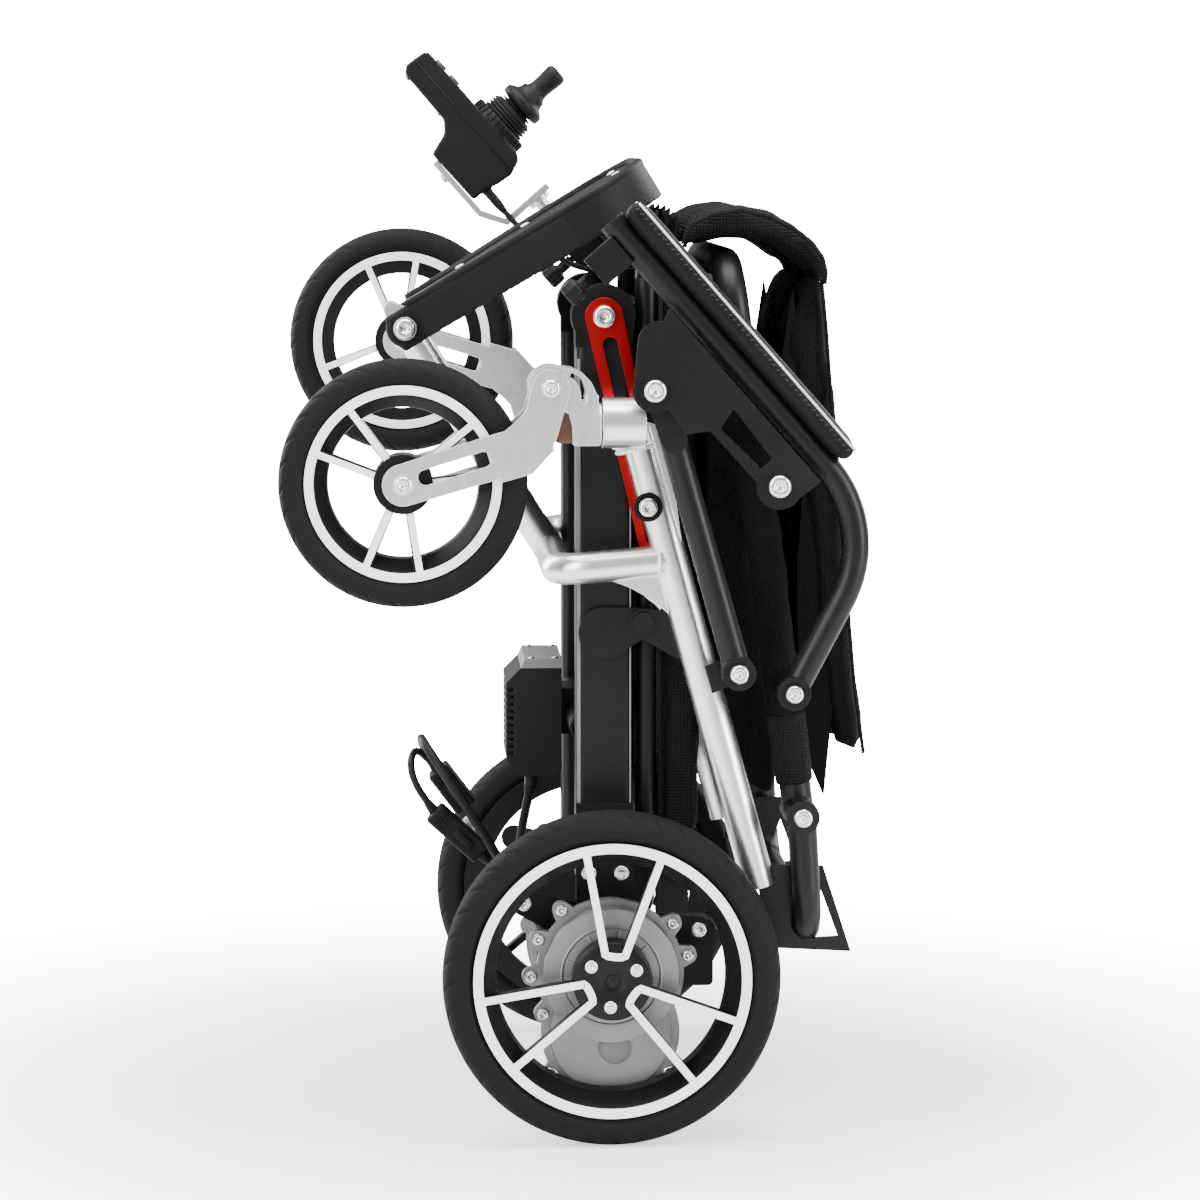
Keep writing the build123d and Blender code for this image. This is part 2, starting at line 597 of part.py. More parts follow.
def fold_lug(side):
    """Black plate from a side tube to the fold pivot."""
    z = FOLD_PIVOT[1]
    shape = belt((side_x(z - 12) - 6, z - 12), FOLD_PIVOT, 22.0, 13.0) - disc(FOLD_PIVOT, 6.0 + RUN)
    inner = BEAM_OUT + PLATE_T + SIDE_GAP
    return side_slab(shape, side, inner, lug_outer()) - side_tube(side, SIDE_R)


def link_lug(side):
    """Black plate that holds the pin of an arm link beside a side tube."""
    z = LINK_HINGE[1]
    shape = belt((side_x(z - 10) + 4, z - 10), LINK_HINGE, 13.0, 12.0)
    plate = side_slab(shape, side, LINK_LUG_Y - PLATE_T, LINK_LUG_Y) - side_tube(side, SIDE_R)
    lug = plate.solids().sort_by(SortBy.VOLUME)[-1]
    lug += pin(LINK_HINGE, PIN_R, side, LINK_LUG_Y - PLATE_T, BUSH_OUT + 1.0)
    return lug + pin(LINK_HINGE, 9.0, side, BUSH_OUT + SIDE_GAP, BUSH_OUT + 3.0)


def front_frame_bolts():
    """The slot pins, each a long bolt through a side tube with a washer under its head."""
    parts = []
    for _, side in SIDES:
        outer = SIDE_Y + SIDE_R
        parts.append(pin(SLOT_PIN, SLOT_PIN_R, side, BEAM_OUT + 1.0, outer + 6.0)
                     + pin(SLOT_PIN, 12.5, side, outer, outer + 2.5)
                     + pin(SLOT_PIN, 7.0, side, outer + 2.5, outer + 6.0))
    return parts


# ---- casters ------------------------------------------------------------------------------


def caster_frame(side):
    """Moves a caster drawn about its steering axis to its place. The right one trails up."""
    place = Pos(0, side * CASTER_Y, STEER_Z)
    return place if side < 0 else place * Rot(180, 0, 0)


def caster_bracket():
    """Swivel bracket: stem, block and two cheeks with a curved slot for the travel stop."""
    stem = rod([(BRACKET_FACE, 0, 0), (NECK_X[1] - 3.0, 0, 0)], SHAFT_R)
    collar = rod([(BRACKET_FACE, 0, 0), (NECK_X[0] - SIDE_GAP, 0, 0)], 18.0)
    block = Pos(BRACKET_FACE - 8.0, 0, 0) * Box(16.0, 2 * CHEEK[1], 62.0)
    cheek = belt(FORK_PIVOT, (-33.0, 26.0), 19.0, 19.0)
    cheek += Pos(-23.0, 8.0) * Rectangle(18.0, 62.0) + outline([(-40, 44), (-14, 31), (-14, -22), (-34, 10)])
    cheek -= belt((-36.0, 34.0), (-27.0, 20.0), 3.2, 3.2)
    cheek -= disc(FORK_PIVOT, PIN_R + RUN)
    fork = stem + collar + block
    for turn in (-1, 1):
        fork += slab(cheek, turn * CHEEK[0], turn * CHEEK[1])
    room = Pos(-45.0, 0, 22.0) * Box(50.0, 2 * CHEEK[0], 66.0)
    return fork - room


def caster_arm():
    """Swing arm: two windowed side plates, a bridge between them, pivot and axle bolts."""
    hub = (CASTER_X, -TRAIL)
    shape = belt(FORK_PIVOT, (-66.0, -6.0), 17.0, 17.0)
    shape += outline([(-88, 2), (-72, 18), (-50, -2), (-54, -24), (-72, -44), (-100, -52), (-100, -8)])
    shape += belt((-96.0, -26.0), hub, 20.0, 19.0)
    shape -= belt((-116.0, -31.0), (-168.0, -47.0), 7.0, 7.0)
    arm = Part()
    for turn in (-1, 1):
        arm += slab(shape, turn * ARM_PLATES[0], turn * ARM_PLATES[1])
        arm += slab(disc(FORK_PIVOT, 8.0) + disc(hub, 9.0), turn * ARM_PLATES[1],
                    turn * (ARM_PLATES[1] + 3.0))
        arm += slab(disc(hub, 13.0), turn * (CASTER_TYRE_W / 2 + 1.0), turn * ARM_PLATES[0])
    bridge = Pos(-62.0, 0, -12.0) * Rot(0, -25, 0) * Box(8.0, 2 * ARM_PLATES[0] + 1, 30.0)
    arm += bridge + slab(disc(FORK_PIVOT, PIN_R) + disc(hub, 6.0), -ARM_PLATES[1], ARM_PLATES[1])
    return arm


def caster(name, side):
    put = caster_frame(side)
    hub = (CASTER_X, -TRAIL)
    write("caster_bracket_" + name, put * caster_bracket())
    write("caster_arm_" + name, put * caster_arm())
    write("caster_tyre_" + name,
          put * tyre(CASTER_R, CASTER_SEAT_R, CASTER_TYRE_W, hub, 0.0))
    half = CASTER_TYRE_W / 2
    rim = cast_rim(CASTER_SEAT_R, CASTER_RING_W, CASTER_RIM_W, 27.0, (-half, half),
                   (23, 143, 263), hub, 0.0, -1, 6.0 + RUN)
    write("caster_rim_" + name, put * rim)


# ---- footplate ----------------------------------------------------------------------------


def foot_plan(inset):
    """Half-width of the tray grows away from the hinge, which leaves the casters room."""
    right = [(t + (inset if t < 0 else 0), w - inset) for t, w in FOOT_HALF]
    right.append((FOOT_LENGTH - inset, FOOT_HALF[-1][1] - inset))
    plan = make_face(Polyline(*(right + [(t, -w) for t, w in reversed(right)]), close=True))
    ends = [v for v in plan.vertices() if v.X > FOOT_LENGTH - inset - 1.0]
    return fillet(ends, FOOT_CORNER - inset)


def footplate():
    """Moulded foot tray with a raised rim and two hinge ears."""
    tray = extrude(foot_plan(0.0), FOOT_UP + FOOT_DOWN)
    tray -= Pos(0, 0, -1) * extrude(foot_plan(FOOT_WALL), FOOT_UP + FOOT_DOWN - 5.0 + 1.0)
    gap = Pos(-10.0, 0, (FOOT_UP + FOOT_DOWN) / 2) * Box(74.0, 2 * FOOT_BARREL + 2 * SIDE_GAP, 60.0)
    tray -= gap
    tray = Pos(0, 0, -FOOT_DOWN) * tray
    for side in (-1, 1):
        tray += Pos(0, side * (FOOT_BARREL + SIDE_GAP + 8.0), 0) * Rot(90, 0, 0) * Cylinder(FOOT_UP, 16.0)
    tray -= Rot(90, 0, 0) * Cylinder(PIN_R + RUN, 200.0)
    return Pos(*spread(FOOT_HINGE, 0)) * Rot(0, -FOOT_ANGLE, 0) * tray


def foot_bolt():
    """Hinge bolt of the footplate, through both ears and the barrel."""
    end = FOOT_BARREL + 2 * SIDE_GAP + 16.0
    return pin(FOOT_HINGE, PIN_R, 1, -end, end) + pin(FOOT_HINGE, 11.0, 1, end, end + 4.0) \
        + pin(FOOT_HINGE, 11.0, -1, end, end + 4.0)


# ---- backrest -----------------------------------------------------------------------------
def back_point(distance, offset):
    """A point along the back's legs from the hinge, and square to them towards +X."""
    length = math.dist(BACK_HINGE, BACK_TOP)
    ux, uz = ((BACK_TOP[0] - BACK_HINGE[0]) / length, (BACK_TOP[1] - BACK_HINGE[1]) / length)
    return (BACK_HINGE[0] + ux * distance + uz * offset, BACK_HINGE[1] + uz * distance - ux * offset)


def back_bow():
    """Push-handle bow: two legs and the bar across their tops, with the arm pins."""
    points = [spread(BACK_HINGE, -BACK_Y), spread(BACK_TOP, -BACK_Y), spread(BACK_TOP, BACK_Y),
              spread(BACK_HINGE, BACK_Y)]
    bow = rod(points, BACK_R, (BACK_BEND, BACK_BEND))
    bow -= rod(points, BACK_R - TUBE_WALL, (BACK_BEND, BACK_BEND))
    for _, side in SIDES:
        bow += pin(BACK_HINGE, BUSH_R, side, BACK_Y - BACK_R, BACK_Y + BACK_R)
        bow -= pin(BACK_HINGE, 6.0 + RUN, side, BACK_Y - 9.0, BACK_Y + 30.0)
        bow += pin(ARM_HINGE, PIN_R, side, BACK_Y - 4.0, BUSH_OUT + 1.0)
        bow += pin(ARM_HINGE, 9.0, side, BUSH_OUT + SIDE_GAP, BUSH_OUT + 3.0)
    return bow


def back_sling():
    """Back upholstery between the legs."""
    half_t = BACK_PAD_T / 2
    shape = outline([back_point(BACK_PAD[0], -half_t), back_point(BACK_PAD[1], -half_t),
                     back_point(BACK_PAD[1], half_t), back_point(BACK_PAD[0], half_t)])
    half = BACK_Y - BACK_R - SOFT_GAP
    pad = slab(shape, -half, half)
    return fillet(pad.edges().filter_by(Axis.Y), 10.0)


def back_top_pad():
    """Padded hood over the bow's top bar."""
    shape = [ThreePointArc((72, 819), (132, 833), (194, 800)),
             Line((194, 800), (203, 812)),
             ThreePointArc((203, 812), (134, 853), (76, 843)),
             Line((76, 843), (72, 819))]
    return slab(make_face(shape), -182.0, 182.0)


def back_flap():
    """Pocket flap that hangs behind the back."""
    shape = outline([(163, 798), (194, 797), (216, 620), (X_MAX, 352), (218, 346), (196, 470),
                     (186, 620)])
    return slab(shape, -162.0, 162.0)


# ---- armrests -----------------------------------------------------------------------------


def arm_corner():
    """Where the line of the armrest meets the line of the tube's lower end."""
    a = math.radians(ARM_ANGLE)
    b = math.radians(62.4)
    # solve start + s * (cos a, -sin a) = hinge + k * (cos b, sin b)
    dx, dz = ARM_HINGE[0] - ARM_START[0], ARM_HINGE[1] - ARM_START[1]
    s = (dx * math.sin(b) - dz * math.cos(b)) / (math.cos(a) * math.sin(b) + math.sin(a) * math.cos(b))
    return arm_point(s, 0.0)


def arm_tube(side):
    """Armrest tube with its rear bush and the clamp for a joystick rod."""
    y = side * ARM_Y
    points = [spread(ARM_START, y), spread(arm_corner(), y), spread(ARM_HINGE, y)]
    tube = rod(points, ARM_R, (ARM_BEND,))
    tube += pin(ARM_HINGE, BUSH_R, side, BUSH_IN, BUSH_OUT)
    tube += side_slab(arm_box(CLAMP, (-ROD_DROP - 14.0, -ARM_R + 3.0)), side, ARM_Y - 13.0, ARM_Y + 13.0)
    tube -= rod([spread(ARM_START, y), spread(arm_corner(), y),
                 spread(along(ARM_HINGE, arm_corner(), BUSH_R - 2), y)], ARM_R - TUBE_WALL, (ARM_BEND,))
    tube -= pin(ARM_HINGE, PIN_R + RUN, side, BUSH_IN - 1, BUSH_OUT + 1)
    tube -= arm_bar((CLAMP[0] - 1, CLAMP[1] + 1), -ROD_DROP, ROD_R + 0.1, y)
    knob_hole = rod([spread(arm_point(25.0, -ROD_DROP - ROD_R - 1), y),
                     spread(arm_point(25.0, -ROD_DROP - 16.0), y)], 3.0 + RUN)
    return tube - knob_hole


def arm_plate(side):
    """Windowed side plate below the armrest tube; its front hole meets the arm link."""
    shape = outline([arm_point(92, -13), arm_point(300, -13), arm_point(298, -44),
                     (ARM_PLATE_BOLT[0] + 4, ARM_PLATE_BOLT[1] - 19), (134, 604), (88, 655), (66, 652),
                     ARM_PLATE_HOLE, (22, 700)])
    shape += disc(ARM_PLATE_HOLE, 20.0) + disc(ARM_PLATE_BOLT, 21.0)
    shape += belt(ARM_PLATE_HOLE, arm_point(110, -40), 19.5, 20.0)
    shape -= outline([(109, 675), (144, 630), (134, 621), (97, 657)])
    plate = side_slab(shape, side, BUSH_OUT, BUSH_OUT + ARM_PLATE_T)
    for point in (ARM_PLATE_HOLE, ARM_PLATE_BOLT):
        plate += pin(point, 9.0, side, BUSH_OUT + ARM_PLATE_T, BUSH_OUT + ARM_PLATE_T + 3.5)
    return plate


def arm_pad(side):
    low, high = ARM_R, ARM_R + PAD_T
    pad = side_slab(arm_box((-2.0, PAD_LENGTH - 2.0), (low, high)), side,
                    ARM_Y - 2 - PAD_W / 2, ARM_Y - 2 + PAD_W / 2)
    cut = arm_bar((-3.0, PAD_LENGTH), 0.0, ARM_R, side * ARM_Y)
    return fillet(pad.edges(), 3.0) - cut


def arm_link(side):
    """Black tube from a side tube's lug up to the armrest plate."""
    y = side * ARM_Y
    top = (53.8, 653.9)
    link = rod([spread(LINK_HINGE, y), spread(top, y)], ARM_R)
    link += pin(LINK_HINGE, BUSH_R, side, LINK_LUG_Y + SIDE_GAP, BUSH_OUT)
    ear = belt(along(top, LINK_HINGE, 8.0), ARM_PLATE_HOLE, 12.0, 9.0)
    link += side_slab(ear, side, BUSH_OUT - 1.0 - PLATE_T, BUSH_OUT - 1.0)
    link -= rod([spread(along(LINK_HINGE, top, BUSH_R), y), spread(along(top, LINK_HINGE, 3.0), y)],
                ARM_R - TUBE_WALL)
    return link - pin(LINK_HINGE, PIN_R + RUN, side, LINK_LUG_Y, BUSH_OUT + 1)


def knob(side):
    """Ribbed thumb screw below the rod clamp."""
    y = side * ARM_Y
    tip, neck_n, head = -ROD_DROP - ROD_R - 2.0, -ROD_DROP - 15.0, -ROD_DROP - 32.0
    screw = rod([spread(arm_point(25.0, tip), y), spread(arm_point(25.0, neck_n), y)], 3.0)
    screw += rod([spread(arm_point(25.0, neck_n), y), spread(arm_point(25.0, head), y)], 5.0)
    grip = rod([spread(arm_point(25.0, head), y), spread(arm_point(25.0, head - 16.0), y)], 11.0)
    return screw + grip


# ---- joystick -----------------------------------------------------------------------------


def joystick_case():
    """Hand control housing: a thin front with the buttons and a deep part below the stick."""
    shape = outline([arm_point(s, n) for s, n in (
        (-232, -40), (-230, -18), (-226, JOY_TOP), (-160, JOY_TOP), (-92, JOY_TOP), (-86, -18),
        (-80, -33), (-82, -50), (-86, -60), (-86, -78), (-148, -79), (-155, -56), (-166, -47),
        (-226, -46))])
    case = slab(shape, ARM_Y - JOY_HALF_Y, ARM_Y + JOY_HALF_Y)
    case = fillet(case.edges().filter_by(Axis.Y), 1.2)
    case -= stick_bar(-50.0, JOY_TOP + 1, 19.0)
    for s in BUTTON_S:
        case -= rod([spread(arm_point(s, JOY_TOP + 1), ARM_Y), spread(arm_point(s, -24.0), ARM_Y)],
                    BUTTON_R + 0.3)
    case += stick_ring(JOY_TOP, -4.0, 31.0, 19.0)
    gland_s, gland_n = CABLE_EXIT
    return case + arm_bar((-88.0, gland_s), gland_n, 5.0, CABLE_Y)


def stick_bar(n0, n1, radius):
    return rod([spread(arm_point(STICK_S, n0), ARM_Y), spread(arm_point(STICK_S, n1), ARM_Y)], radius)


def stick_ring(n0, n1, outer, inner):
    return stick_bar(n0, n1, outer) - stick_bar(n0 - 1, n1 + 1, inner)


def joystick_gaiter():
    """Folded rubber gaiter on the raised ring round the stick."""
    return stick_ring(-4.0, 10.0, 25.0, 19.5)


def joystick_gimbal():
    """Middle ring of the stick's two-axis bearing."""
    centre = Pos(*spread(arm_point(STICK_S, -30.0), ARM_Y)) * Rot(0, ARM_ANGLE, 0)
    return centre * (Box(24.0, 24.0, 8.0) - Box(15.0, 15.0, 10.0))


def joystick_stick():
    """Steering stick: shaft, bell that covers the gaiter, and grip."""
    return stick_bar(-36.0, 26.0, 5.0) + stick_bar(19.5, 28.0, 24.0) + stick_bar(28.0, 40.0, 15.0) \
        + stick_bar(40.0, 72.0, 11.0)


def button(s):
    return rod([spread(arm_point(s, -20.0), ARM_Y), spread(arm_point(s, JOY_TOP + 3.0), ARM_Y)], BUTTON_R)


def joystick_bracket():
    """Bent plate under the housing and the rod that slides into the armrest's clamp."""
    plate = outline([arm_point(s, n) for s, n in (
        (-140, -85), (-140, -79), (-72, -79), (-50, -66), (-50, -12), (-44, -12), (-44, -69), (-70, -85))])
    bracket = slab(plate, ARM_Y - 14.0, ARM_Y + 18.0)
    bar = arm_bar((-44.0, 44.0), -ROD_DROP, ROD_R, ARM_Y)
    washer = arm_bar((-44.0, -39.0), -ROD_DROP, 12.0, ARM_Y)
    return bracket + bar + washer


# ---- cables -------------------------------------------------------------------------------
def bend_radii(points):
    """For each corner: 0.45 of its shorter run over the tangent of half its turn."""
    radii = []
    for a, b, c in zip(points, points[1:], points[2:]):
        first, second = Vector(*b) - Vector(*a), Vector(*c) - Vector(*b)
        turn = math.radians(first.get_angle(second))
        radii.append(0.45 * min(first.length, second.length) / math.tan(turn / 2))
    return radii


def cable(name, points, diameter):
    radii = bend_radii(points)
    path = FilletPolyline(*points, radius=radii)
    tube = sweep(Plane(path @ 0, z_dir=path % 0) * Circle(diameter / 2), path=path)
    error = tube.volume / (math.pi * diameter**2 / 4 * path.length) - 1
    print(f"{name}: length {path.length:.0f}, volume error {error:.4f}, smallest radius {min(radii):.0f}",
          "radii", [round(r) for r in radii])
    write(name, tube)


def plug(top, bottom, half, y0, y1):
    """Moulded inline connector between two points of its middle line."""
    length = math.dist(top, bottom)
    nx, nz = (half * (top[1] - bottom[1]) / length, half * (bottom[0] - top[0]) / length)
    shape = outline([(top[0] - nx, top[1] - nz), (top[0] + nx, top[1] + nz),
                     (bottom[0] + nx, bottom[1] + nz), (bottom[0] - nx, bottom[1] - nz)])
    body = slab(shape, y0, y1)
    return fillet(body.edges(), 3.0)


def connectors():
    top, bottom, radius, y = CONTACT
    return [plug(*p) for p in PLUGS] + [rod([spread(top, y), spread(bottom, y)], radius)]


def all_cables():
    cable("motor_lead", MOTOR_LEAD, LEAD_D)
    cable("jumper_lead", JUMPER_LEAD, JUMPER_D)
    cable("controller_lead", CONTROLLER_LEAD, LEAD_D)
    cable("joystick_cable", [spread(arm_point(s, n), y) for s, y, n in JOYSTICK_CABLE], JOY_CABLE_D)
    write("cable_connectors", *connectors())


# ---- write every node ---------------------------------------------------------------------
def both(make):
    return [make(side) for _, side in SIDES]


def main():
    os.makedirs(OUT, exist_ok=True)
    for name, side in SIDES:
        drive_wheel(name, side)
        write("side_beam_" + name, side_beam(side))
        write("gear_housing_" + name, gear_housing(side))
        write("brake_lever_" + name, brake_lever(side))
        write("front_frame_" + name, front_frame_side(side))
        caster(name, side)
        write("thumb_knob_" + name, knob(side))
    write("beam_end_caps", *both(end_cap))
    write("battery_packs", *both(battery))
    write("frame_cross_tubes", *cross_tubes())
    write("motors", *both(motor_can), *both(brake_box))
    write("motor_plates", *both(motor_plate))
    write("drive_frame_bolts", *drive_frame_bolts())
    write("controller_case", controller_case())
    write("controller_lid", controller_lid())
    write("fold_links", *both(fold_link))
    write("seat_frame", seat_frame())
    write("seat_sling", seat_sling())
    write("u_tube_and_hanger", u_tube_and_hanger())
    write("rear_bow", rear_bow())
    write("pivot_lugs", *both(fold_lug), *both(link_lug))
    write("front_frame_bolts", *front_frame_bolts(), foot_bolt())
    write("footplate", footplate())
    write("back_bow", back_bow())
    write("back_sling", back_sling())
    write("back_top_pad", back_top_pad())
    write("back_flap", back_flap())
    write("arm_tubes", *both(arm_tube))
    write("arm_pads", *both(arm_pad))
    write("arm_plates", *both(arm_plate))
    write("arm_links", *both(arm_link))
    write("joystick_case", joystick_case())
    write("joystick_gaiter", joystick_gaiter())
    write("joystick_gimbal", joystick_gimbal())
    write("joystick_stick", joystick_stick())
    all_cables()
    write("joystick_bracket", joystick_bracket())
    for i, s in enumerate(BUTTON_S):
        write(f"joystick_button_{i + 1}", button(s))


main()
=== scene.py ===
import json
import math

import bmesh
import bpy
from mathutils import Matrix, Vector, noise


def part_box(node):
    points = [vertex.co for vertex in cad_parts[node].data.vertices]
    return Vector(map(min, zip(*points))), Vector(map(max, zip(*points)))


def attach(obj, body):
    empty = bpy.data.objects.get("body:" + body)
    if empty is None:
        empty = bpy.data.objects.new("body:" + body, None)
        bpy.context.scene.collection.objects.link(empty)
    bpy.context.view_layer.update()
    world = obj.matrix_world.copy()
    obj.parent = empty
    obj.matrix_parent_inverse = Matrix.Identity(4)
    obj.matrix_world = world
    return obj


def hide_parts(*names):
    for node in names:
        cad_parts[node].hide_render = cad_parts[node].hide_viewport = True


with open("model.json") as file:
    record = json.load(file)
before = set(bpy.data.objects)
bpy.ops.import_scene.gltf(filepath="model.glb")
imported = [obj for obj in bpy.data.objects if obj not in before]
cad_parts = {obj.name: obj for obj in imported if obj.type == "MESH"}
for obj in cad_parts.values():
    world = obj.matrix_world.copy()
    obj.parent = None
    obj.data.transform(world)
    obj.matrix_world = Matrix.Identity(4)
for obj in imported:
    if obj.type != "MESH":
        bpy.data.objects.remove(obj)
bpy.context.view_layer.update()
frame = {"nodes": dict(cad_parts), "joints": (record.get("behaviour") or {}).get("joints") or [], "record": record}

bl_info = {
    "name": "Folding power wheelchair looks",
    "version": (1, 0, 0),
    "blender": (4, 5, 0),
    "location": "View3D > Sidebar > Wheelchair",
    "description": "Builds the finished surfaces of a folded power wheelchair round its packed frame",
    "category": "Object",
}

SIDES = (("left", -1), ("right", 1))
NODES = frame["nodes"]


# ---- places, read from the frame ------------------------------------------------------------
def middle(node):
    low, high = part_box(node)
    return (low + high) / 2


def joint_at(name):
    return Vector(next(j["pos_m"] for j in frame["joints"] if j["name"] == name))


# (X, Z) in mm from the floor below the axle, and distances from the chair's middle
SIDE_TUBE_Y = 207.0
SIDE_TUBE = ((24, 653), (138.7, 229.5))   # upper and lower end of the silver side tubes
SLOT_PIN = (34.4, 583.1)                  # pin that runs in the fold links' slots
ARM_PLATE_HOLES = ((38.1, 691.3), (150.7, 604.9))
FORK_PIVOT = (-55.3, 32.6)                # from the foot of a caster's stem
BACK_TOP = (109.5, 803)

# metres and degrees
TREAD_DEPTH = 0.0022
TREAD_LINE_DEPTH = 0.0016
DRIVE_SPOKES = (85, 205, 325)
DRIVE_SCREWS = (25, 145, 265)
CASTER_SPOKES = (23, 143, 263)

AXLE = middle("drive_rim_left")
HEAD = joint_at("seat_tilt")
BACK_HINGE = joint_at("back_rise")
ARM_HINGE = joint_at("armrest_swing")
LINK_HINGE = joint_at("arm_link_swing")
FOOT_HINGE = joint_at("footplate_flip")
STICK = joint_at("stick_fore_aft")
KNOB = joint_at("clamp_knob_right")
ARM_Y = KNOB.y
UP = Vector(next(j["axis"] for j in frame["joints"] if j["name"] == "clamp_knob_right"))
ALONG = Vector((UP.z, 0, -UP.x))          # down the armrest, from its front end
ARM_START = Vector((KNOB.x, 0, KNOB.z)) - ALONG * 0.025 + UP * 0.050


def at(x, y, z):
    """A point in millimetres from the floor below the drive axle."""
    return Vector((AXLE.x + x / 1000, y / 1000, z / 1000))


def on_arm(s, n, y):
    """A point in millimetres along the armrest and square to it, y from the chair's middle."""
    p = ARM_START + ALONG * (s / 1000) + UP * (n / 1000)
    return Vector((p.x, y / 1000, p.z))


# ---- cable routes, millimetres --------------------------------------------------------------
MOTOR_LEAD = [(-31, -112, 138.4), (-51, -113, 165), (-70, -116, 196), (-92, -118, 229), (-112, -119, 262),
              (-133, -118, 295), (-152, -110, 324), (-166, -95, 343), (-172, -76, 351), (-172, -56, 348),
              (-170, -38, 339), (-164.5, -28, 326), (-155.2, -26, 313.6)]
JUMPER_LEAD = [(-159.5, -100, 283.7), (-172, -99, 300), (-180, -95, 315), (-183, -86, 329), (-180, -72, 337),
               (-176, -59, 337), (-170, -50, 331.5), (-163, -45, 323.5), (-155.2, -44, 313.6)]
CONTROLLER_LEAD = [(-117.5, -100, 245.3), (-105, -100, 234), (-94, -94, 223), (-86, -82, 214),
                   (-83, -66, 210.5), (-81, -50, 215.5), (-79, -38, 227.5), (-77, -31, 242.5),
                   (-75, -29, 259.5), (-71, -29.5, 279.5), (-66, -30, 301)]
JOYSTICK_CABLE = [(-69, 224, -62), (-46, 224, -62.5), (-24, 223, -61), (-2, 222, -57), (20, 223, -50),
                  (38, 227, -41), (50, 234, -31), (57, 241, -20), (60, 245, -10.5)]


# ---- mesh helpers ---------------------------------------------------------------------------
def make_object(name, mesh, material=None, smooth=True):
    obj = bpy.data.objects.new(name, mesh)
    bpy.context.scene.collection.objects.link(obj)
    if material is not None:
        mesh.materials.clear()
        mesh.materials.append(material)
    if smooth:
        mesh.shade_smooth()
    return obj


def mesh_from(name, verts, faces):
    mesh = bpy.data.meshes.new(name)
    mesh.from_pydata([tuple(v) for v in verts], [], faces)
    mesh.update()
    return mesh


def outward(mesh):
    bm = bmesh.new()
    bm.from_mesh(mesh)
    bmesh.ops.remove_doubles(bm, verts=bm.verts, dist=1e-6)
    bmesh.ops.recalc_face_normals(bm, faces=bm.faces)
    bm.to_mesh(mesh)
    bm.free()
    return mesh


def basis(direction):
    """Two directions square to the given one."""
    d = direction.normalized()
    helper = Vector((0, 0, 1)) if abs(d.z) < 0.9 else Vector((1, 0, 0))
    a = d.cross(helper).normalized()
    return a, d.cross(a).normalized()


def turned(name, profile, centre, direction, steps=64, ripple=None):
    """Turned piece: (radius, height) points about a line. ripple(angle, radius, height) gives its radius."""
    a, b = basis(direction)
    d = direction.normalized()
    verts, faces = [], []
    for i in range(steps):
        t = 2 * math.pi * i / steps
        for r, h in profile:
            rr = r if ripple is None else ripple(t, r, h)
            verts.append(centre + (a * math.cos(t) + b * math.sin(t)) * rr + d * h)
    n = len(profile)
    for i in range(steps):
        j = (i + 1) % steps
        for k in range(n - 1):
            faces.append((i * n + k, j * n + k, j * n + k + 1, i * n + k + 1))
    return outward(mesh_from(name, verts, faces))


def swept(name, path, radius, steps=10, closed=False, ripple=None):
    """A round bead or piping along a list of points."""
    verts, faces = [], []
    count = len(path)
    for i, p in enumerate(path):
        if closed:
            tangent = path[(i + 1) % count] - path[i - 1]
        else:
            tangent = path[min(i + 1, count - 1)] - path[max(i - 1, 0)]
        a, b = basis(tangent)
        if i and (a.dot(last_a) < 0.2):
            a, b = last_a, tangent.normalized().cross(last_a).normalized()
        last_a = a
        r = radius if ripple is None else radius * ripple(i)
        for k in range(steps):
            t = 2 * math.pi * k / steps
            verts.append(p + (a * math.cos(t) + b * math.sin(t)) * r)
    for i in range(count if closed else count - 1):
        j = (i + 1) % count
        for k in range(steps):
            m = (k + 1) % steps
            faces.append((i * steps + k, i * steps + m, j * steps + m, j * steps + k))
    if not closed:
        faces.append(tuple(range(steps)))
        faces.append(tuple(range((count - 1) * steps, count * steps)))
    return outward(mesh_from(name, verts, faces))


def block(name, corners, bevel, segments=3, cuts=0):
    """A rounded block from its eight corners, low face first."""
    faces = [(0, 1, 2, 3), (4, 5, 6, 7), (0, 1, 5, 4), (1, 2, 6, 5), (2, 3, 7, 6), (3, 0, 4, 7)]
    mesh = outward(mesh_from(name, corners, faces))
    bm = bmesh.new()
    bm.from_mesh(mesh)
    if bevel > 0:
        bmesh.ops.bevel(bm, geom=bm.edges[:], offset=bevel, segments=segments, profile=0.6, affect="EDGES")
    if cuts:
        bmesh.ops.subdivide_edges(bm, edges=bm.edges[:], cuts=cuts, use_grid_fill=True)
    bm.to_mesh(mesh)
    bm.free()
    return mesh


def joined(name, meshes, material=None, smooth=True):
    bm = bmesh.new()
    for mesh in meshes:
        bm.from_mesh(mesh)
    out = bpy.data.meshes.new(name)
    bm.to_mesh(out)
    bm.free()
    return make_object(name, out, material, smooth)


def arc_points(centre, radius, start, end, steps):
    return [(centre[0] + radius * math.cos(start + (end - start) * i / steps),
             centre[1] + radius * math.sin(start + (end - start) * i / steps)) for i in range(steps + 1)]


def baked(obj):
    """The object with its modifiers applied, as a plain mesh."""
    bpy.context.view_layer.update()
    graph = bpy.context.evaluated_depsgraph_get()
    mesh = bpy.data.meshes.new_from_object(obj.evaluated_get(graph))
    obj.modifiers.clear()
    obj.data = mesh
    return obj


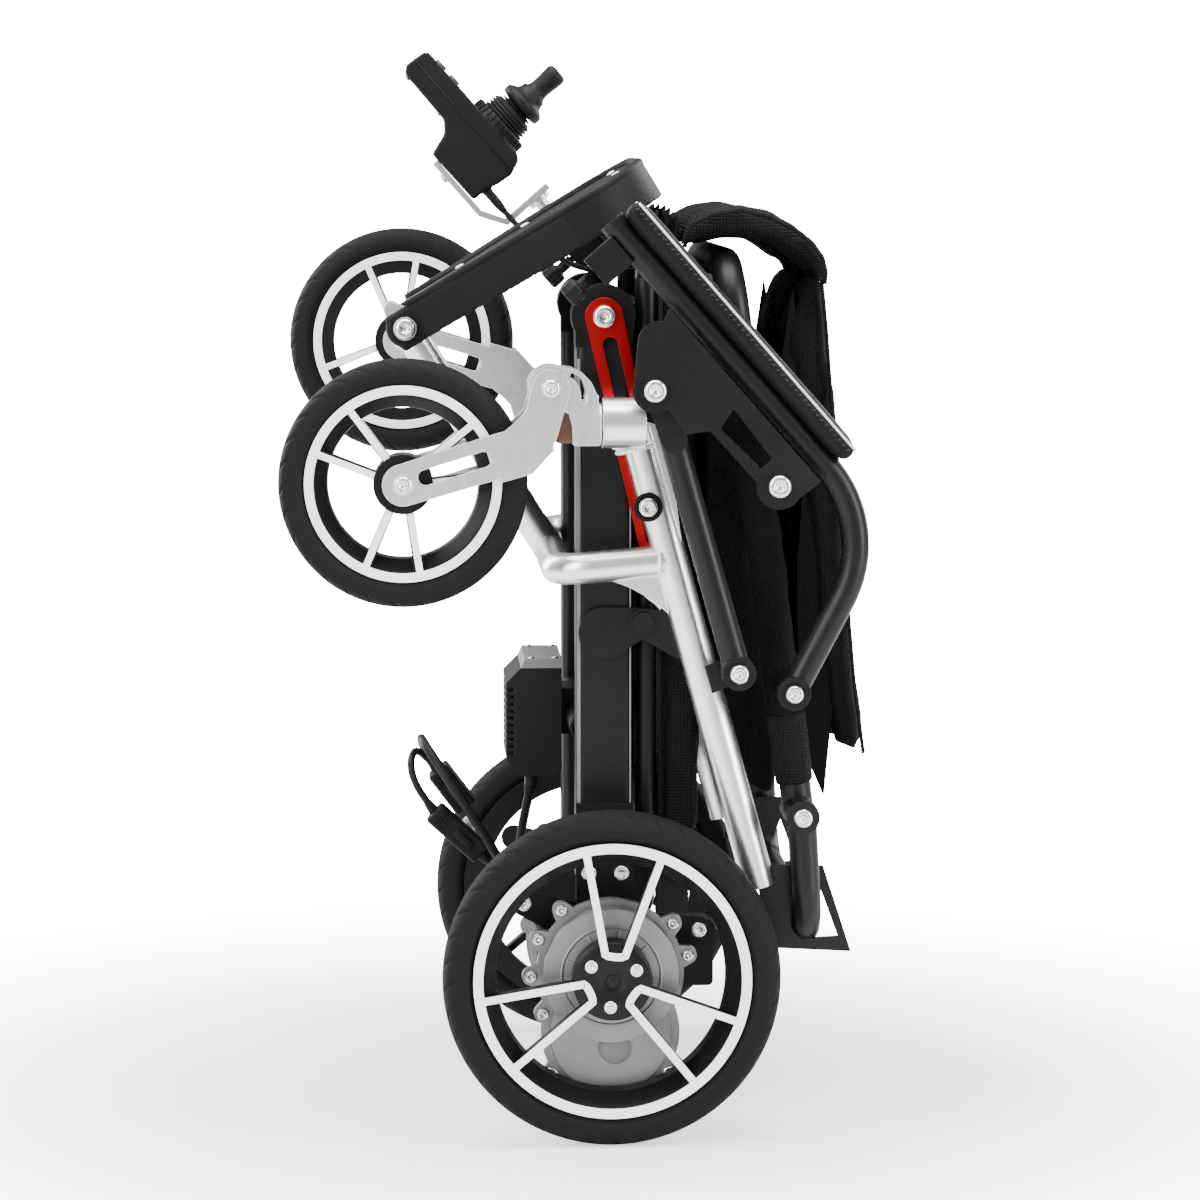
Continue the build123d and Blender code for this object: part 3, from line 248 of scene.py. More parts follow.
def prism(outline, shift, holes=()):
    """A closed outline of points, with its holes, pushed out by a vector."""
    bm = bmesh.new()
    edges = []
    for ring in (outline, *holes):
        verts = [bm.verts.new(p) for p in ring]
        edges += [bm.edges.new((verts[i], verts[(i + 1) % len(verts)])) for i in range(len(verts))]
    bmesh.ops.triangle_fill(bm, use_beauty=True, edges=edges)
    grown = bmesh.ops.extrude_face_region(bm, geom=bm.faces[:])
    moved = [v for v in grown["geom"] if isinstance(v, bmesh.types.BMVert)]
    bmesh.ops.translate(bm, verts=moved, vec=shift)
    bmesh.ops.recalc_face_normals(bm, faces=bm.faces)
    mesh = bpy.data.meshes.new("prism")
    bm.to_mesh(mesh)
    bm.free()
    return mesh


def strip(line, half):
    """Outline of a band along (x, z) points, with its two ends square."""
    left, right = [], []
    for i, (x, z) in enumerate(line):
        x0, z0 = line[max(i - 1, 0)]
        x1, z1 = line[min(i + 1, len(line) - 1)]
        length = math.hypot(x1 - x0, z1 - z0)
        dx, dz = (z0 - z1) / length * half, (x1 - x0) / length * half
        left.append((x + dx, z + dz))
        right.append((x - dx, z - dz))
    return left + right[::-1]


def softened(node, name, voxel, rounds):
    """A copy of a CAD node with its edges rounded over."""
    obj = make_object(name, NODES[node].data.copy())
    obj.matrix_world = NODES[node].matrix_world.copy()
    even = obj.modifiers.new("even", "REMESH")
    even.mode = "VOXEL"
    even.voxel_size = voxel
    ease = obj.modifiers.new("ease", "SMOOTH")
    ease.iterations = rounds
    baked(obj)
    obj.data.shade_smooth()
    return obj


# ---- Geometry Nodes: repeat one small piece on a set of points ----------------------------------
def repeat_tree(material):
    """Puts a copy of an object at each point, turned by the points' own rotation."""
    name = "repeat_" + material.name
    tree = bpy.data.node_groups.get(name)
    if tree:
        return tree
    tree = bpy.data.node_groups.new(name, "GeometryNodeTree")
    face = tree.interface
    face.new_socket("Points", in_out="INPUT", socket_type="NodeSocketGeometry")
    face.new_socket("Piece", in_out="INPUT", socket_type="NodeSocketObject")
    size = face.new_socket("Size", in_out="INPUT", socket_type="NodeSocketFloat")
    size.default_value = 1.0
    face.new_socket("Result", in_out="OUTPUT", socket_type="NodeSocketGeometry")
    add = tree.nodes.new
    start, end = add("NodeGroupInput"), add("NodeGroupOutput")
    info, turn = add("GeometryNodeObjectInfo"), add("GeometryNodeInputNamedAttribute")
    turn.data_type = "FLOAT_VECTOR"
    turn.inputs["Name"].default_value = "facing"
    align, copies = add("FunctionNodeAlignRotationToVector"), add("GeometryNodeInstanceOnPoints")
    align.axis = "Z"
    real, paint = add("GeometryNodeRealizeInstances"), add("GeometryNodeSetMaterial")
    paint.inputs["Material"].default_value = material
    link = tree.links.new
    link(start.outputs["Piece"], info.inputs["Object"])
    link(turn.outputs["Attribute"], align.inputs["Vector"])
    link(start.outputs["Points"], copies.inputs["Points"])
    link(info.outputs["Geometry"], copies.inputs["Instance"])
    link(align.outputs["Rotation"], copies.inputs["Rotation"])
    link(start.outputs["Size"], copies.inputs["Scale"])
    link(copies.outputs["Instances"], real.inputs["Geometry"])
    link(real.outputs["Geometry"], paint.inputs["Geometry"])
    link(paint.outputs["Geometry"], end.inputs["Result"])
    return tree


def repeated(name, piece_mesh, spots, material, size=1.0):
    """Copies of a small piece at (point, facing) spots, made by Geometry Nodes."""
    seed = make_object(name + "_seed", piece_mesh, material)
    mesh = mesh_from(name, [p for p, _ in spots], [])
    facing = mesh.attributes.new("facing", "FLOAT_VECTOR", "POINT")
    for i, (_, d) in enumerate(spots):
        facing.data[i].vector = d.normalized()
    obj = make_object(name, mesh, None, False)
    tree = repeat_tree(material)
    mod = obj.modifiers.new("copies", "NODES")
    mod.node_group = tree
    ids = {s.name: s.identifier for s in tree.interface.items_tree if s.in_out == "INPUT"}
    mod[ids["Piece"]] = seed
    mod[ids["Size"]] = size
    baked(obj)
    bpy.data.objects.remove(seed)
    obj.data.shade_smooth()
    return obj


# ---- shader groups --------------------------------------------------------------------------
def new_group(name, inputs, outputs):
    tree = bpy.data.node_groups.new(name, "ShaderNodeTree")
    for label, kind, value in inputs:
        socket = tree.interface.new_socket(label, in_out="INPUT", socket_type=kind)
        if value is not None:
            socket.default_value = value
    for label, kind in outputs:
        tree.interface.new_socket(label, in_out="OUTPUT", socket_type=kind)
    return tree, tree.nodes.new("NodeGroupInput"), tree.nodes.new("NodeGroupOutput")


def object_space(tree, stretch=(1, 1, 1)):
    where = tree.nodes.new("ShaderNodeTexCoord")
    mapping = tree.nodes.new("ShaderNodeMapping")
    mapping.inputs["Scale"].default_value = stretch
    tree.links.new(where.outputs["Object"], mapping.inputs["Vector"])
    return mapping.outputs["Vector"]


def math_node(tree, kind, a, b=None):
    node = tree.nodes.new("ShaderNodeMath")
    node.operation = kind
    for socket, value in zip(node.inputs, (a, b)):
        if value is None:
            continue
        if isinstance(value, (int, float)):
            socket.default_value = value
        else:
            tree.links.new(value, socket)
    return node.outputs[0]


def grain_group():
    """Fine and broad unevenness: a height for the bump and a mask for roughness and colour."""
    tree, start, end = new_group(
        "uneven_grain",
        [("Fine", "NodeSocketFloat", 900.0), ("Broad", "NodeSocketFloat", 14.0),
         ("Mix", "NodeSocketFloat", 0.5)],
        [("Height", "NodeSocketFloat"), ("Mask", "NodeSocketFloat")],
    )
    space = object_space(tree)
    fine, broad = tree.nodes.new("ShaderNodeTexNoise"), tree.nodes.new("ShaderNodeTexNoise")
    for node, label in ((fine, "Fine"), (broad, "Broad")):
        tree.links.new(space, node.inputs["Vector"])
        tree.links.new(start.outputs[label], node.inputs["Scale"])
        node.inputs["Detail"].default_value = 3.0
    tree.links.new(fine.outputs["Fac"], end.inputs["Height"])
    mixed = math_node(tree, "MULTIPLY", fine.outputs["Fac"], start.outputs["Mix"])
    tree.links.new(math_node(tree, "ADD", mixed, broad.outputs["Fac"]), end.inputs["Mask"])
    return tree


def weave_group():
    """Crossed yarns in three directions, so that every face of a piece shows a weave."""
    tree, start, end = new_group(
        "woven_cloth",
        [("Yarns", "NodeSocketFloat", 620.0)],
        [("Height", "NodeSocketFloat"), ("Gaps", "NodeSocketFloat")],
    )
    split = tree.nodes.new("ShaderNodeSeparateXYZ")
    tree.links.new(object_space(tree), split.inputs[0])
    waves = []
    for axis in ("X", "Y", "Z"):
        scaled = math_node(tree, "MULTIPLY", split.outputs[axis], start.outputs["Yarns"])
        waves.append(math_node(tree, "ABSOLUTE",
                               math_node(tree, "SINE", math_node(tree, "MULTIPLY", scaled, 3.14159))))
    total = math_node(tree, "ADD", math_node(tree, "MULTIPLY", waves[0], waves[1]),
                      math_node(tree, "MULTIPLY", waves[1], waves[2]))
    total = math_node(tree, "ADD", total, math_node(tree, "MULTIPLY", waves[0], waves[2]))
    tree.links.new(total, end.inputs["Height"])
    tree.links.new(math_node(tree, "LESS_THAN", total, 0.35), end.inputs["Gaps"])
    return tree


def brushed_group():
    """Long fine scratches down the chair's tubes."""
    tree, start, end = new_group(
        "brushed_lines",
        [("Scale", "NodeSocketFloat", 60.0)],
        [("Height", "NodeSocketFloat"), ("Mask", "NodeSocketFloat")],
    )
    tex = tree.nodes.new("ShaderNodeTexNoise")
    tree.links.new(object_space(tree, (30, 30, 1)), tex.inputs["Vector"])
    tree.links.new(start.outputs["Scale"], tex.inputs["Scale"])
    tex.inputs["Detail"].default_value = 4.0
    tree.links.new(tex.outputs["Fac"], end.inputs["Height"])
    tree.links.new(tex.outputs["Fac"], end.inputs["Mask"])
    return tree


GROUPS = {}


def build_groups():
    GROUPS["grain"] = grain_group()
    GROUPS["weave"] = weave_group()
    GROUPS["brushed"] = brushed_group()


# ---- materials ------------------------------------------------------------------------------
def base_material(name, colour, metallic, roughness, **sockets):
    """A Principled material, its group node and a way to join them."""
    mat = bpy.data.materials.new(name)
    mat.use_nodes = True
    tree = mat.node_tree
    shader = tree.nodes["Principled BSDF"]
    shader.inputs["Base Color"].default_value = (*colour, 1)
    shader.inputs["Metallic"].default_value = metallic
    shader.inputs["Roughness"].default_value = roughness
    for label, value in sockets.items():
        shader.inputs[label.replace("_", " ").title().replace("Ior", "IOR")].default_value = value
    return mat, tree, shader


def spread_value(tree, value, low, high):
    node = tree.nodes.new("ShaderNodeMapRange")
    node.inputs["To Min"].default_value = low
    node.inputs["To Max"].default_value = high
    tree.links.new(value, node.inputs["Value"])
    return node.outputs["Result"]


def tint(tree, mask, dark, light, shader):
    ramp = tree.nodes.new("ShaderNodeMix")
    ramp.data_type = "RGBA"
    ramp.inputs["A"].default_value = (*dark, 1)
    ramp.inputs["B"].default_value = (*light, 1)
    tree.links.new(mask, ramp.inputs["Factor"])
    tree.links.new(ramp.outputs["Result"], shader.inputs["Base Color"])


def bump(tree, height, strength, distance, shader, soft_edge=0.0):
    node = tree.nodes.new("ShaderNodeBump")
    node.inputs["Strength"].default_value = strength
    node.inputs["Distance"].default_value = distance
    tree.links.new(height, node.inputs["Height"])
    if soft_edge:
        edge = tree.nodes.new("ShaderNodeBevel")
        edge.samples = 6
        edge.inputs["Radius"].default_value = soft_edge
        tree.links.new(edge.outputs["Normal"], node.inputs["Normal"])
    tree.links.new(node.outputs["Normal"], shader.inputs["Normal"])


def grained(name, colour, metallic, roughness, fine=900.0, broad=14.0, relief=0.15, depth=0.0004,
            vary=0.12, lighter=1.35, soft_edge=0.0008, **sockets):
    """Paint, plastic, rubber or cast metal with an uneven surface."""
    mat, tree, shader = base_material(name, colour, metallic, roughness, **sockets)
    group = tree.nodes.new("ShaderNodeGroup")
    group.node_tree = GROUPS["grain"]
    group.inputs["Fine"].default_value = fine
    group.inputs["Broad"].default_value = broad
    tree.links.new(spread_value(tree, group.outputs["Mask"], roughness - vary, roughness + vary),
                   shader.inputs["Roughness"])
    tint(tree, group.outputs["Mask"], [c * 0.85 for c in colour], [min(1, c * lighter) for c in colour],
         shader)
    bump(tree, group.outputs["Height"], relief, depth, shader, soft_edge)
    return mat


def woven(name, colour, yarns, roughness=0.85, relief=0.6, depth=0.0005, **sockets):
    mat, tree, shader = base_material(name, colour, 0.0, roughness, **sockets)
    group = tree.nodes.new("ShaderNodeGroup")
    group.node_tree = GROUPS["weave"]
    group.inputs["Yarns"].default_value = yarns
    tint(tree, group.outputs["Gaps"], colour, [c * 0.3 for c in colour], shader)
    bump(tree, group.outputs["Height"], relief, depth, shader)
    return mat


def brushed(name, colour, roughness, scale=60.0, relief=0.25, **sockets):
    mat, tree, shader = base_material(name, colour, 1.0, roughness, **sockets)
    group = tree.nodes.new("ShaderNodeGroup")
    group.node_tree = GROUPS["brushed"]
    group.inputs["Scale"].default_value = scale
    tree.links.new(spread_value(tree, group.outputs["Mask"], roughness - 0.08, roughness + 0.14),
                   shader.inputs["Roughness"])
    tint(tree, group.outputs["Mask"], [c * 0.8 for c in colour], [min(1, c * 1.15) for c in colour], shader)
    bump(tree, group.outputs["Height"], relief, 0.0002, shader, 0.0008)
    return mat


def floor_material():
    """White studio floor that glows more with distance from the chair, so that it has no far edge."""
    mat, tree, shader = base_material("studio_floor", [0.82] * 3, 0.0, 0.75)
    length, rise = tree.nodes.new("ShaderNodeVectorMath"), tree.nodes.new("ShaderNodeMapRange")
    length.operation = "LENGTH"
    tree.links.new(object_space(tree), length.inputs[0])
    tree.links.new(length.outputs["Value"], rise.inputs["Value"])
    rise.interpolation_type = "SMOOTHSTEP"
    for label, value in (("From Min", 0.35), ("From Max", 1.5), ("To Min", 1.0), ("To Max", 20.0)):
        rise.inputs[label].default_value = value
    path = tree.nodes.new("ShaderNodeLightPath")
    glow = math_node(tree, "MULTIPLY", rise.outputs["Result"], path.outputs["Is Camera Ray"])
    shader.inputs["Emission Strength"].default_value = 1.0
    tree.links.new(glow, shader.inputs["Emission Color"])
    return mat


MAT = {}


def build_materials():
    build_groups()
    look = bpy.context.scene.chair_paint
    black, red = list(look.tube_black), list(look.link_red)
    MAT["black_tube"] = grained("satin_black_powder", black, 0.0, 0.32, fine=1600, relief=0.08,
                                specular_ior_level=0.22)
    MAT["black_cap"] = grained("satin_black_cap", [0.003] * 3, 0.0, 0.4, fine=1200, relief=0.1,
                               specular_ior_level=0.15)
    MAT["rim_black"] = grained("rim_black_lacquer", [0.003] * 3, 0.0, 0.34, fine=1500, relief=0.06,
                               specular_ior_level=0.17)
    MAT["rim_white"] = grained("rim_white_lacquer", [0.93] * 3, 0.0, 0.35, fine=700, relief=0.03,
                               lighter=1.05, soft_edge=0.0004)
    MAT["tyre_rubber"] = grained("tyre_rubber", [0.006] * 3, 0.0, 0.62, fine=1300, broad=22, relief=0.35,
                                 depth=0.0005, soft_edge=0, specular_ior_level=0.08)
    MAT["steel"] = brushed("turned_steel", [0.62, 0.62, 0.63], 0.25)
    MAT["bright_bolt"] = grained("bright_zinc", [0.82, 0.82, 0.83], 1.0, 0.24, fine=600, relief=0.0,
                                 vary=0.02, lighter=1.03, soft_edge=0.0003)
    MAT["silver_frame"] = brushed("brushed_silver_frame", [0.86, 0.86, 0.87], 0.28)
    MAT["silver_plate"] = brushed("brushed_silver_plate", [0.84, 0.84, 0.85], 0.30, scale=45.0)
    MAT["weld"] = grained("weld_bead", [0.80, 0.80, 0.80], 1.0, 0.38, fine=500, relief=0.3, soft_edge=0)
    MAT["grey_casting"] = grained("grey_casting", [0.20, 0.20, 0.205], 0.85, 0.40, fine=1100, relief=0.4,
                                  depth=0.0006, lighter=1.2)
    MAT["motor_black"] = grained("motor_black", [0.005] * 3, 0.0, 0.42, fine=900, relief=0.15,
                                 specular_ior_level=0.15)
    MAT["black_steel"] = grained("black_plate", [0.004] * 3, 0.0, 0.45, fine=1100, relief=0.2,
                                 specular_ior_level=0.12)
    MAT["red_anodised"] = grained("red_anodised", red, 0.85, 0.28, fine=1500, relief=0.06, vary=0.06)
    MAT["finned_black"] = grained("finned_black", [0.005] * 3, 0.0, 0.42, fine=1000, relief=0.2,
                                  specular_ior_level=0.17)
    MAT["lid_grey"] = grained("lid_grey", [0.13] * 3, 0.0, 0.45, fine=1000, relief=0.15)
    MAT["black_plastic"] = grained("moulded_black_plastic", [0.004] * 3, 0.0, 0.44, fine=1900, relief=0.3,
                                   specular_ior_level=0.13)
    MAT["foot_plastic"] = grained("footplate_plastic", [0.004] * 3, 0.0, 0.46, fine=1500, relief=0.3,
                                  specular_ior_level=0.13)
    MAT["battery_case"] = grained("battery_case", [0.012] * 3, 0.0, 0.5)
    MAT["pad_skin"] = grained("armrest_skin", [0.004] * 3, 0.0, 0.5, fine=1100, relief=0.45, depth=0.0005,
                              soft_edge=0, specular_ior_level=0.12)
    # painted highlight: the pale grey piping colour stands in for the thin light line along the armrest pads' top
    # edges
    MAT["piping"] = grained("painted_highlight_piping", [0.5] * 3, 0.0, 0.5, fine=900, relief=0.2, soft_edge=0)
    MAT["cloth"] = woven("black_seat_cloth", [0.006, 0.006, 0.0064], 560.0, specular_ior_level=0.06)
    MAT["mesh_cloth"] = woven("black_mesh_cloth", [0.009, 0.009, 0.0096], 330.0, 0.8, 0.9, 0.0009,
                              specular_ior_level=0.07)
    MAT["webbing"] = woven("black_webbing", [0.009] * 3, 480.0, 0.75, 0.8, specular_ior_level=0.07)
    MAT["thread"] = grained("thread", [0.02] * 3, 0.0, 0.7, soft_edge=0)
    MAT["soft_rubber"] = grained("soft_rubber", [0.004] * 3, 0.0, 0.55, fine=1200, relief=0.2, soft_edge=0,
                                 specular_ior_level=0.11)
    MAT["cable_jacket"] = grained("cable_jacket", [0.004] * 3, 0.0, 0.42, fine=1500, relief=0.15, soft_edge=0,
                                  specular_ior_level=0.15)
    MAT["contact_grey"] = grained("contact_grey", [0.42, 0.41, 0.38], 0.3, 0.4, fine=700, relief=0.2)
    MAT["button_grey"] = grained("button_grey", [0.06] * 3, 0.0, 0.4, fine=900, relief=0.1)
    MAT["elastomer"] = grained("amber_rubber", [0.075, 0.028, 0.010], 0.0, 0.4, fine=900, relief=0.2,
                               soft_edge=0)
    MAT["floor"] = floor_material()


NODE_LOOK = {
    "footplate": "foot_plastic", "cable_connectors": "black_plastic", "thumb_knob_left": "black_plastic",
    "thumb_knob_right": "black_plastic", "arm_plates": "black_tube", "joystick_bracket": "silver_frame",
}


def paint_nodes():
    """Every CAD node that stays takes the finish of its material slot."""
    slots = {s["node"]: s["material_slot"] for s in frame["record"]["subparts"]}
    other = {"black_fabric": "cloth", "pad_foam": "pad_skin"}
    for name, obj in NODES.items():
        slot_name = slots[name]
        look = NODE_LOOK.get(name, other.get(slot_name, slot_name))
        obj.data.materials.clear()
        obj.data.materials.append(MAT[look])


def finish_piece(obj, body, slot_name, *nodes):
    """Gives a finished piece its body and hides the CAD nodes that it stands for; slot_name is not used."""
    if nodes:
        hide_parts(*nodes)
    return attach(obj, body)


# ---- small parts ----------------------------------------------------------------------------
def button_head(radius, height, socket=0.45, hexagon=True):
    """Domed screw head with a hexagon or star socket, its face up +Z and its seat at the origin."""
    profile = [(0.0, height - 0.0012)]
    inner = radius * socket
    profile += [(inner * 0.98, height - 0.0012), (inner, height - 0.0001)]
    profile += [(radius * 0.75, height - 0.0002), (radius * 0.94, height * 0.62), (radius, height * 0.25),
                (radius, -0.0008)]
    profile += [(0.0, -0.0008)]
    points = 6

    def star(t, r, h):
        if r > inner * 1.01 or r == 0:
            return r
        wedge = (t % (2 * math.pi / points)) - math.pi / points
        if hexagon:
            return r * math.cos(math.pi / points) / math.cos(wedge)
        return r * (1 + 0.14 * math.cos(6 * t))

    return turned("head", profile, Vector((0, 0, 0)), Vector((0, 0, 1)), 36, star)


def bolts(name, spots, body, slot_name, radius, height=0.0035, look="bright_bolt", socket=0.45):
    obj = repeated(name, button_head(radius, height, socket), spots, MAT[look])
    return finish_piece(obj, body, slot_name)


def weld_ring(name, centre, direction, radius, squeeze=1.0, count=40, size=0.0024):
    """Closed bead of stacked ripples round a tube."""
    a, b = basis(direction)
    steps = count * 4
    path = []
    for i in range(steps):
        t = 2 * math.pi * i / steps
        path.append(centre + a * math.cos(t) * radius + b * math.sin(t) * radius * squeeze)
    return swept(name, path, size, 8, True, lambda i: 0.8 + 0.3 * abs(math.sin(math.pi * i / 4)))


# ---- wheels ---------------------------------------------------------------------------------
def tyre_mesh(name, centre, radius, seat, width, grooves, flat=0.0, turns=540):
    """Tyre with curved shoulder grooves, three tread lines and a sidewall step."""
    half = width / 2
    profile = []
    ring = [(seat, -half * 0.72), (seat + 0.0015, -half * 0.8), (seat + 0.004, -half * 0.86),
            (seat + 0.0045, -half * 0.90)]
    profile += ring
    depth = radius - seat
    shoulder = 22
    for i in range(shoulder * 2 + 1):
        t = math.pi * (i / (2 * shoulder))
        y = -math.cos(t) * half * 0.955
        bulge = math.sin(t) ** 0.62
        profile.append((seat + 0.006 + (depth - 0.006) * bulge, y))
    profile += [(r, -y) for r, y in reversed(ring)]
    n = len(profile)
    verts, faces = [], []
    for i in range(turns):
        a = 2 * math.pi * i / turns
        for r, y in profile:
            across = y / half
            rr = r
            if r > seat + depth * 0.42 and abs(across) < 0.97:
                edge = min(1.0, (abs(across) - 0.38) / 0.12) if abs(across) > 0.38 else 0.0
                fade = min(1.0, (0.97 - abs(across)) / 0.08)
                phase = (a * grooves / (2 * math.pi) + abs(across) ** 2 * 0.75 + (0.5 if y > 0 else 0)) % 1.0
                cut = max(0.0, 1 - abs(phase - 0.5) / 0.085)
                rr -= TREAD_DEPTH * edge * fade * min(1.0, cut * 1.8)
                line = min(abs(across), abs(abs(across) - 0.30))
                if line < 0.035:
                    rr -= TREAD_LINE_DEPTH * (1 - line / 0.035)
            x, z = centre.x + math.cos(a) * rr, centre.z + math.sin(a) * rr
            verts.append((x, centre.y + y, max(z, flat)))
    for i in range(turns):
        j = (i + 1) % turns
        for k in range(n - 1):
            faces.append((i * n + k, j * n + k, j * n + k + 1, i * n + k + 1))
        faces.append((i * n + n - 1, j * n + n - 1, j * n, i * n))
    return outward(mesh_from(name, verts, faces))


def vee_path(centre, facing, angle, half_angle, inner, outer, bow=1.25):
    """Middle line of a V-shaped spoke pair, rounded at its foot."""
    def polar(r, degrees):
        t = math.radians(degrees)
        return Vector((centre.x + r * math.cos(t), facing, centre.z + r * math.sin(t)))
    roots = [polar(inner, angle - half_angle * bow), polar(inner, angle + half_angle * bow)]
    tips = [polar(outer, angle - half_angle), polar(outer, angle + half_angle)]
    path = [tips[0].lerp(roots[0], i / 10) for i in range(10)]
    low = polar(inner * 0.86, angle)
    for i in range(9):
        t = i / 8
        path.append(roots[0] * (1 - t) ** 2 + low * 2 * t * (1 - t) + roots[1] * t * t)
    path += [roots[1].lerp(tips[1], (i + 1) / 10) for i in range(10)]
    return path


def flat_band(name, path, width, thick, side, closed=False):
    """A flat raised line with eased edges, lying in a wheel's face."""
    verts, faces = [], []
    count = len(path)
    for i, p in enumerate(path):
        ahead = path[(i + 1) % count] if closed else path[min(i + 1, count - 1)]
        behind = path[i - 1] if closed else path[max(i - 1, 0)]
        t = (ahead - behind).normalized()
        across = Vector((-t.z, 0, t.x))
        out = Vector((0, side, 0))
        for w, h in ((-1, 0), (-1, 0.8), (-0.9, 1), (0.9, 1), (1, 0.8), (1, 0)):
            verts.append(p + across * w * width / 2 + out * h * thick)
    n = 6
    for i in range(count if closed else count - 1):
        j = (i + 1) % count
        for k in range(n):
            m = (k + 1) % n
            faces.append((i * n + k, i * n + m, j * n + m, j * n + k))
    if not closed:
        faces.append(tuple(range(n)))
        faces.append(tuple(range((count - 1) * n, count * n)))
    return outward(mesh_from(name, verts, faces))


def wheel_face(name, centre, y, side, seat, ring_w, hub_r, angles, half_angle, line):
    """Bright ring and V spokes on the face of a wheel."""
    mean = seat - ring_w / 2
    ring = [Vector((centre.x + mean * math.cos(2 * math.pi * i / 128), y,
                    centre.z + mean * math.sin(2 * math.pi * i / 128)))
            for i in range(128)]
    meshes = [flat_band("ring", ring, ring_w, 0.0012, side, True)]
    for angle in angles:
        path = vee_path(centre, y, angle, half_angle, hub_r * 0.7, mean)
        meshes.append(flat_band("vee", path, line, 0.0011, side))
    return joined(name, meshes, MAT["rim_white"], False)


class CHAIR_PG_wheels(bpy.types.PropertyGroup):
    drive_grooves: bpy.props.IntProperty(name="Drive grooves",
                                         description="Shoulder grooves round a drive tyre", default=40, min=8)
    caster_grooves: bpy.props.IntProperty(name="Caster grooves",
                                          description="Shoulder grooves round a caster tyre", default=30,
                                          min=8)
    spoke_line: bpy.props.FloatProperty(name="Spoke line", description="Width of a bright spoke line",
                                        default=0.0070, unit="LENGTH")


class CHAIR_OT_drive_wheels(bpy.types.Operator):
    """Tyres, bright faces and hub caps of the drive wheels"""
    bl_idname = "chair.drive_wheels"
    bl_label = "Drive wheels"

    def execute(self, context):
        sizes = context.scene.chair_wheels
        for name, side in SIDES:
            body = "drive_wheel_" + name
            low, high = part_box("drive_tyre_" + name)
            rim_low, rim_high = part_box("drive_rim_" + name)
            centre = middle("drive_rim_" + name)
            centre.y = (low.y + high.y) / 2
            radius, seat = (high.x - low.x) / 2, (rim_high.x - rim_low.x) / 2
            mesh = tyre_mesh("tyre", centre, radius, seat, (high.y - low.y), sizes.drive_grooves, 0.0)
            tyre = make_object("tread_tyre_" + name, mesh, MAT["tyre_rubber"])
            finish_piece(tyre, body, "tyre_rubber", "drive_tyre_" + name)
            y = rim_high.y if side > 0 else rim_low.y
            face = wheel_face("wheel_face_" + name, centre, y - side * 0.0004, side, seat - 0.0004, 0.0092,
                              0.0365, DRIVE_SPOKES, 16.5, sizes.spoke_line)
            finish_piece(face, body, "rim_black")
            out = Vector((0, side, 0))
            base = Vector((centre.x, y - side * 0.004, centre.z))
            cap = turned("cap", [(0, 0.0022), (0.011, 0.0022), (0.012, 0.0030), (0.0345, 0.0030),
                                 (0.0362, 0.0018), (0.0365, -0.001), (0, -0.001)], base, out, 72)
            finish_piece(make_object("hub_cap_" + name, cap, MAT["rim_black"]), body, "rim_black")
            spots = [(base + out * 0.003 + Vector((math.cos(t), 0, math.sin(t))) * 0.024, out)
                     for t in (math.radians(d) for d in DRIVE_SCREWS)]
            bolts("hub_screws_" + name, spots, body, "steel", 0.0062, 0.0026)
            bolts("hub_centre_" + name, [(base + out * 0.0022, out)], body, "steel", 0.0060, 0.0020,
                  "motor_black", 0.6)
        return {"FINISHED"}


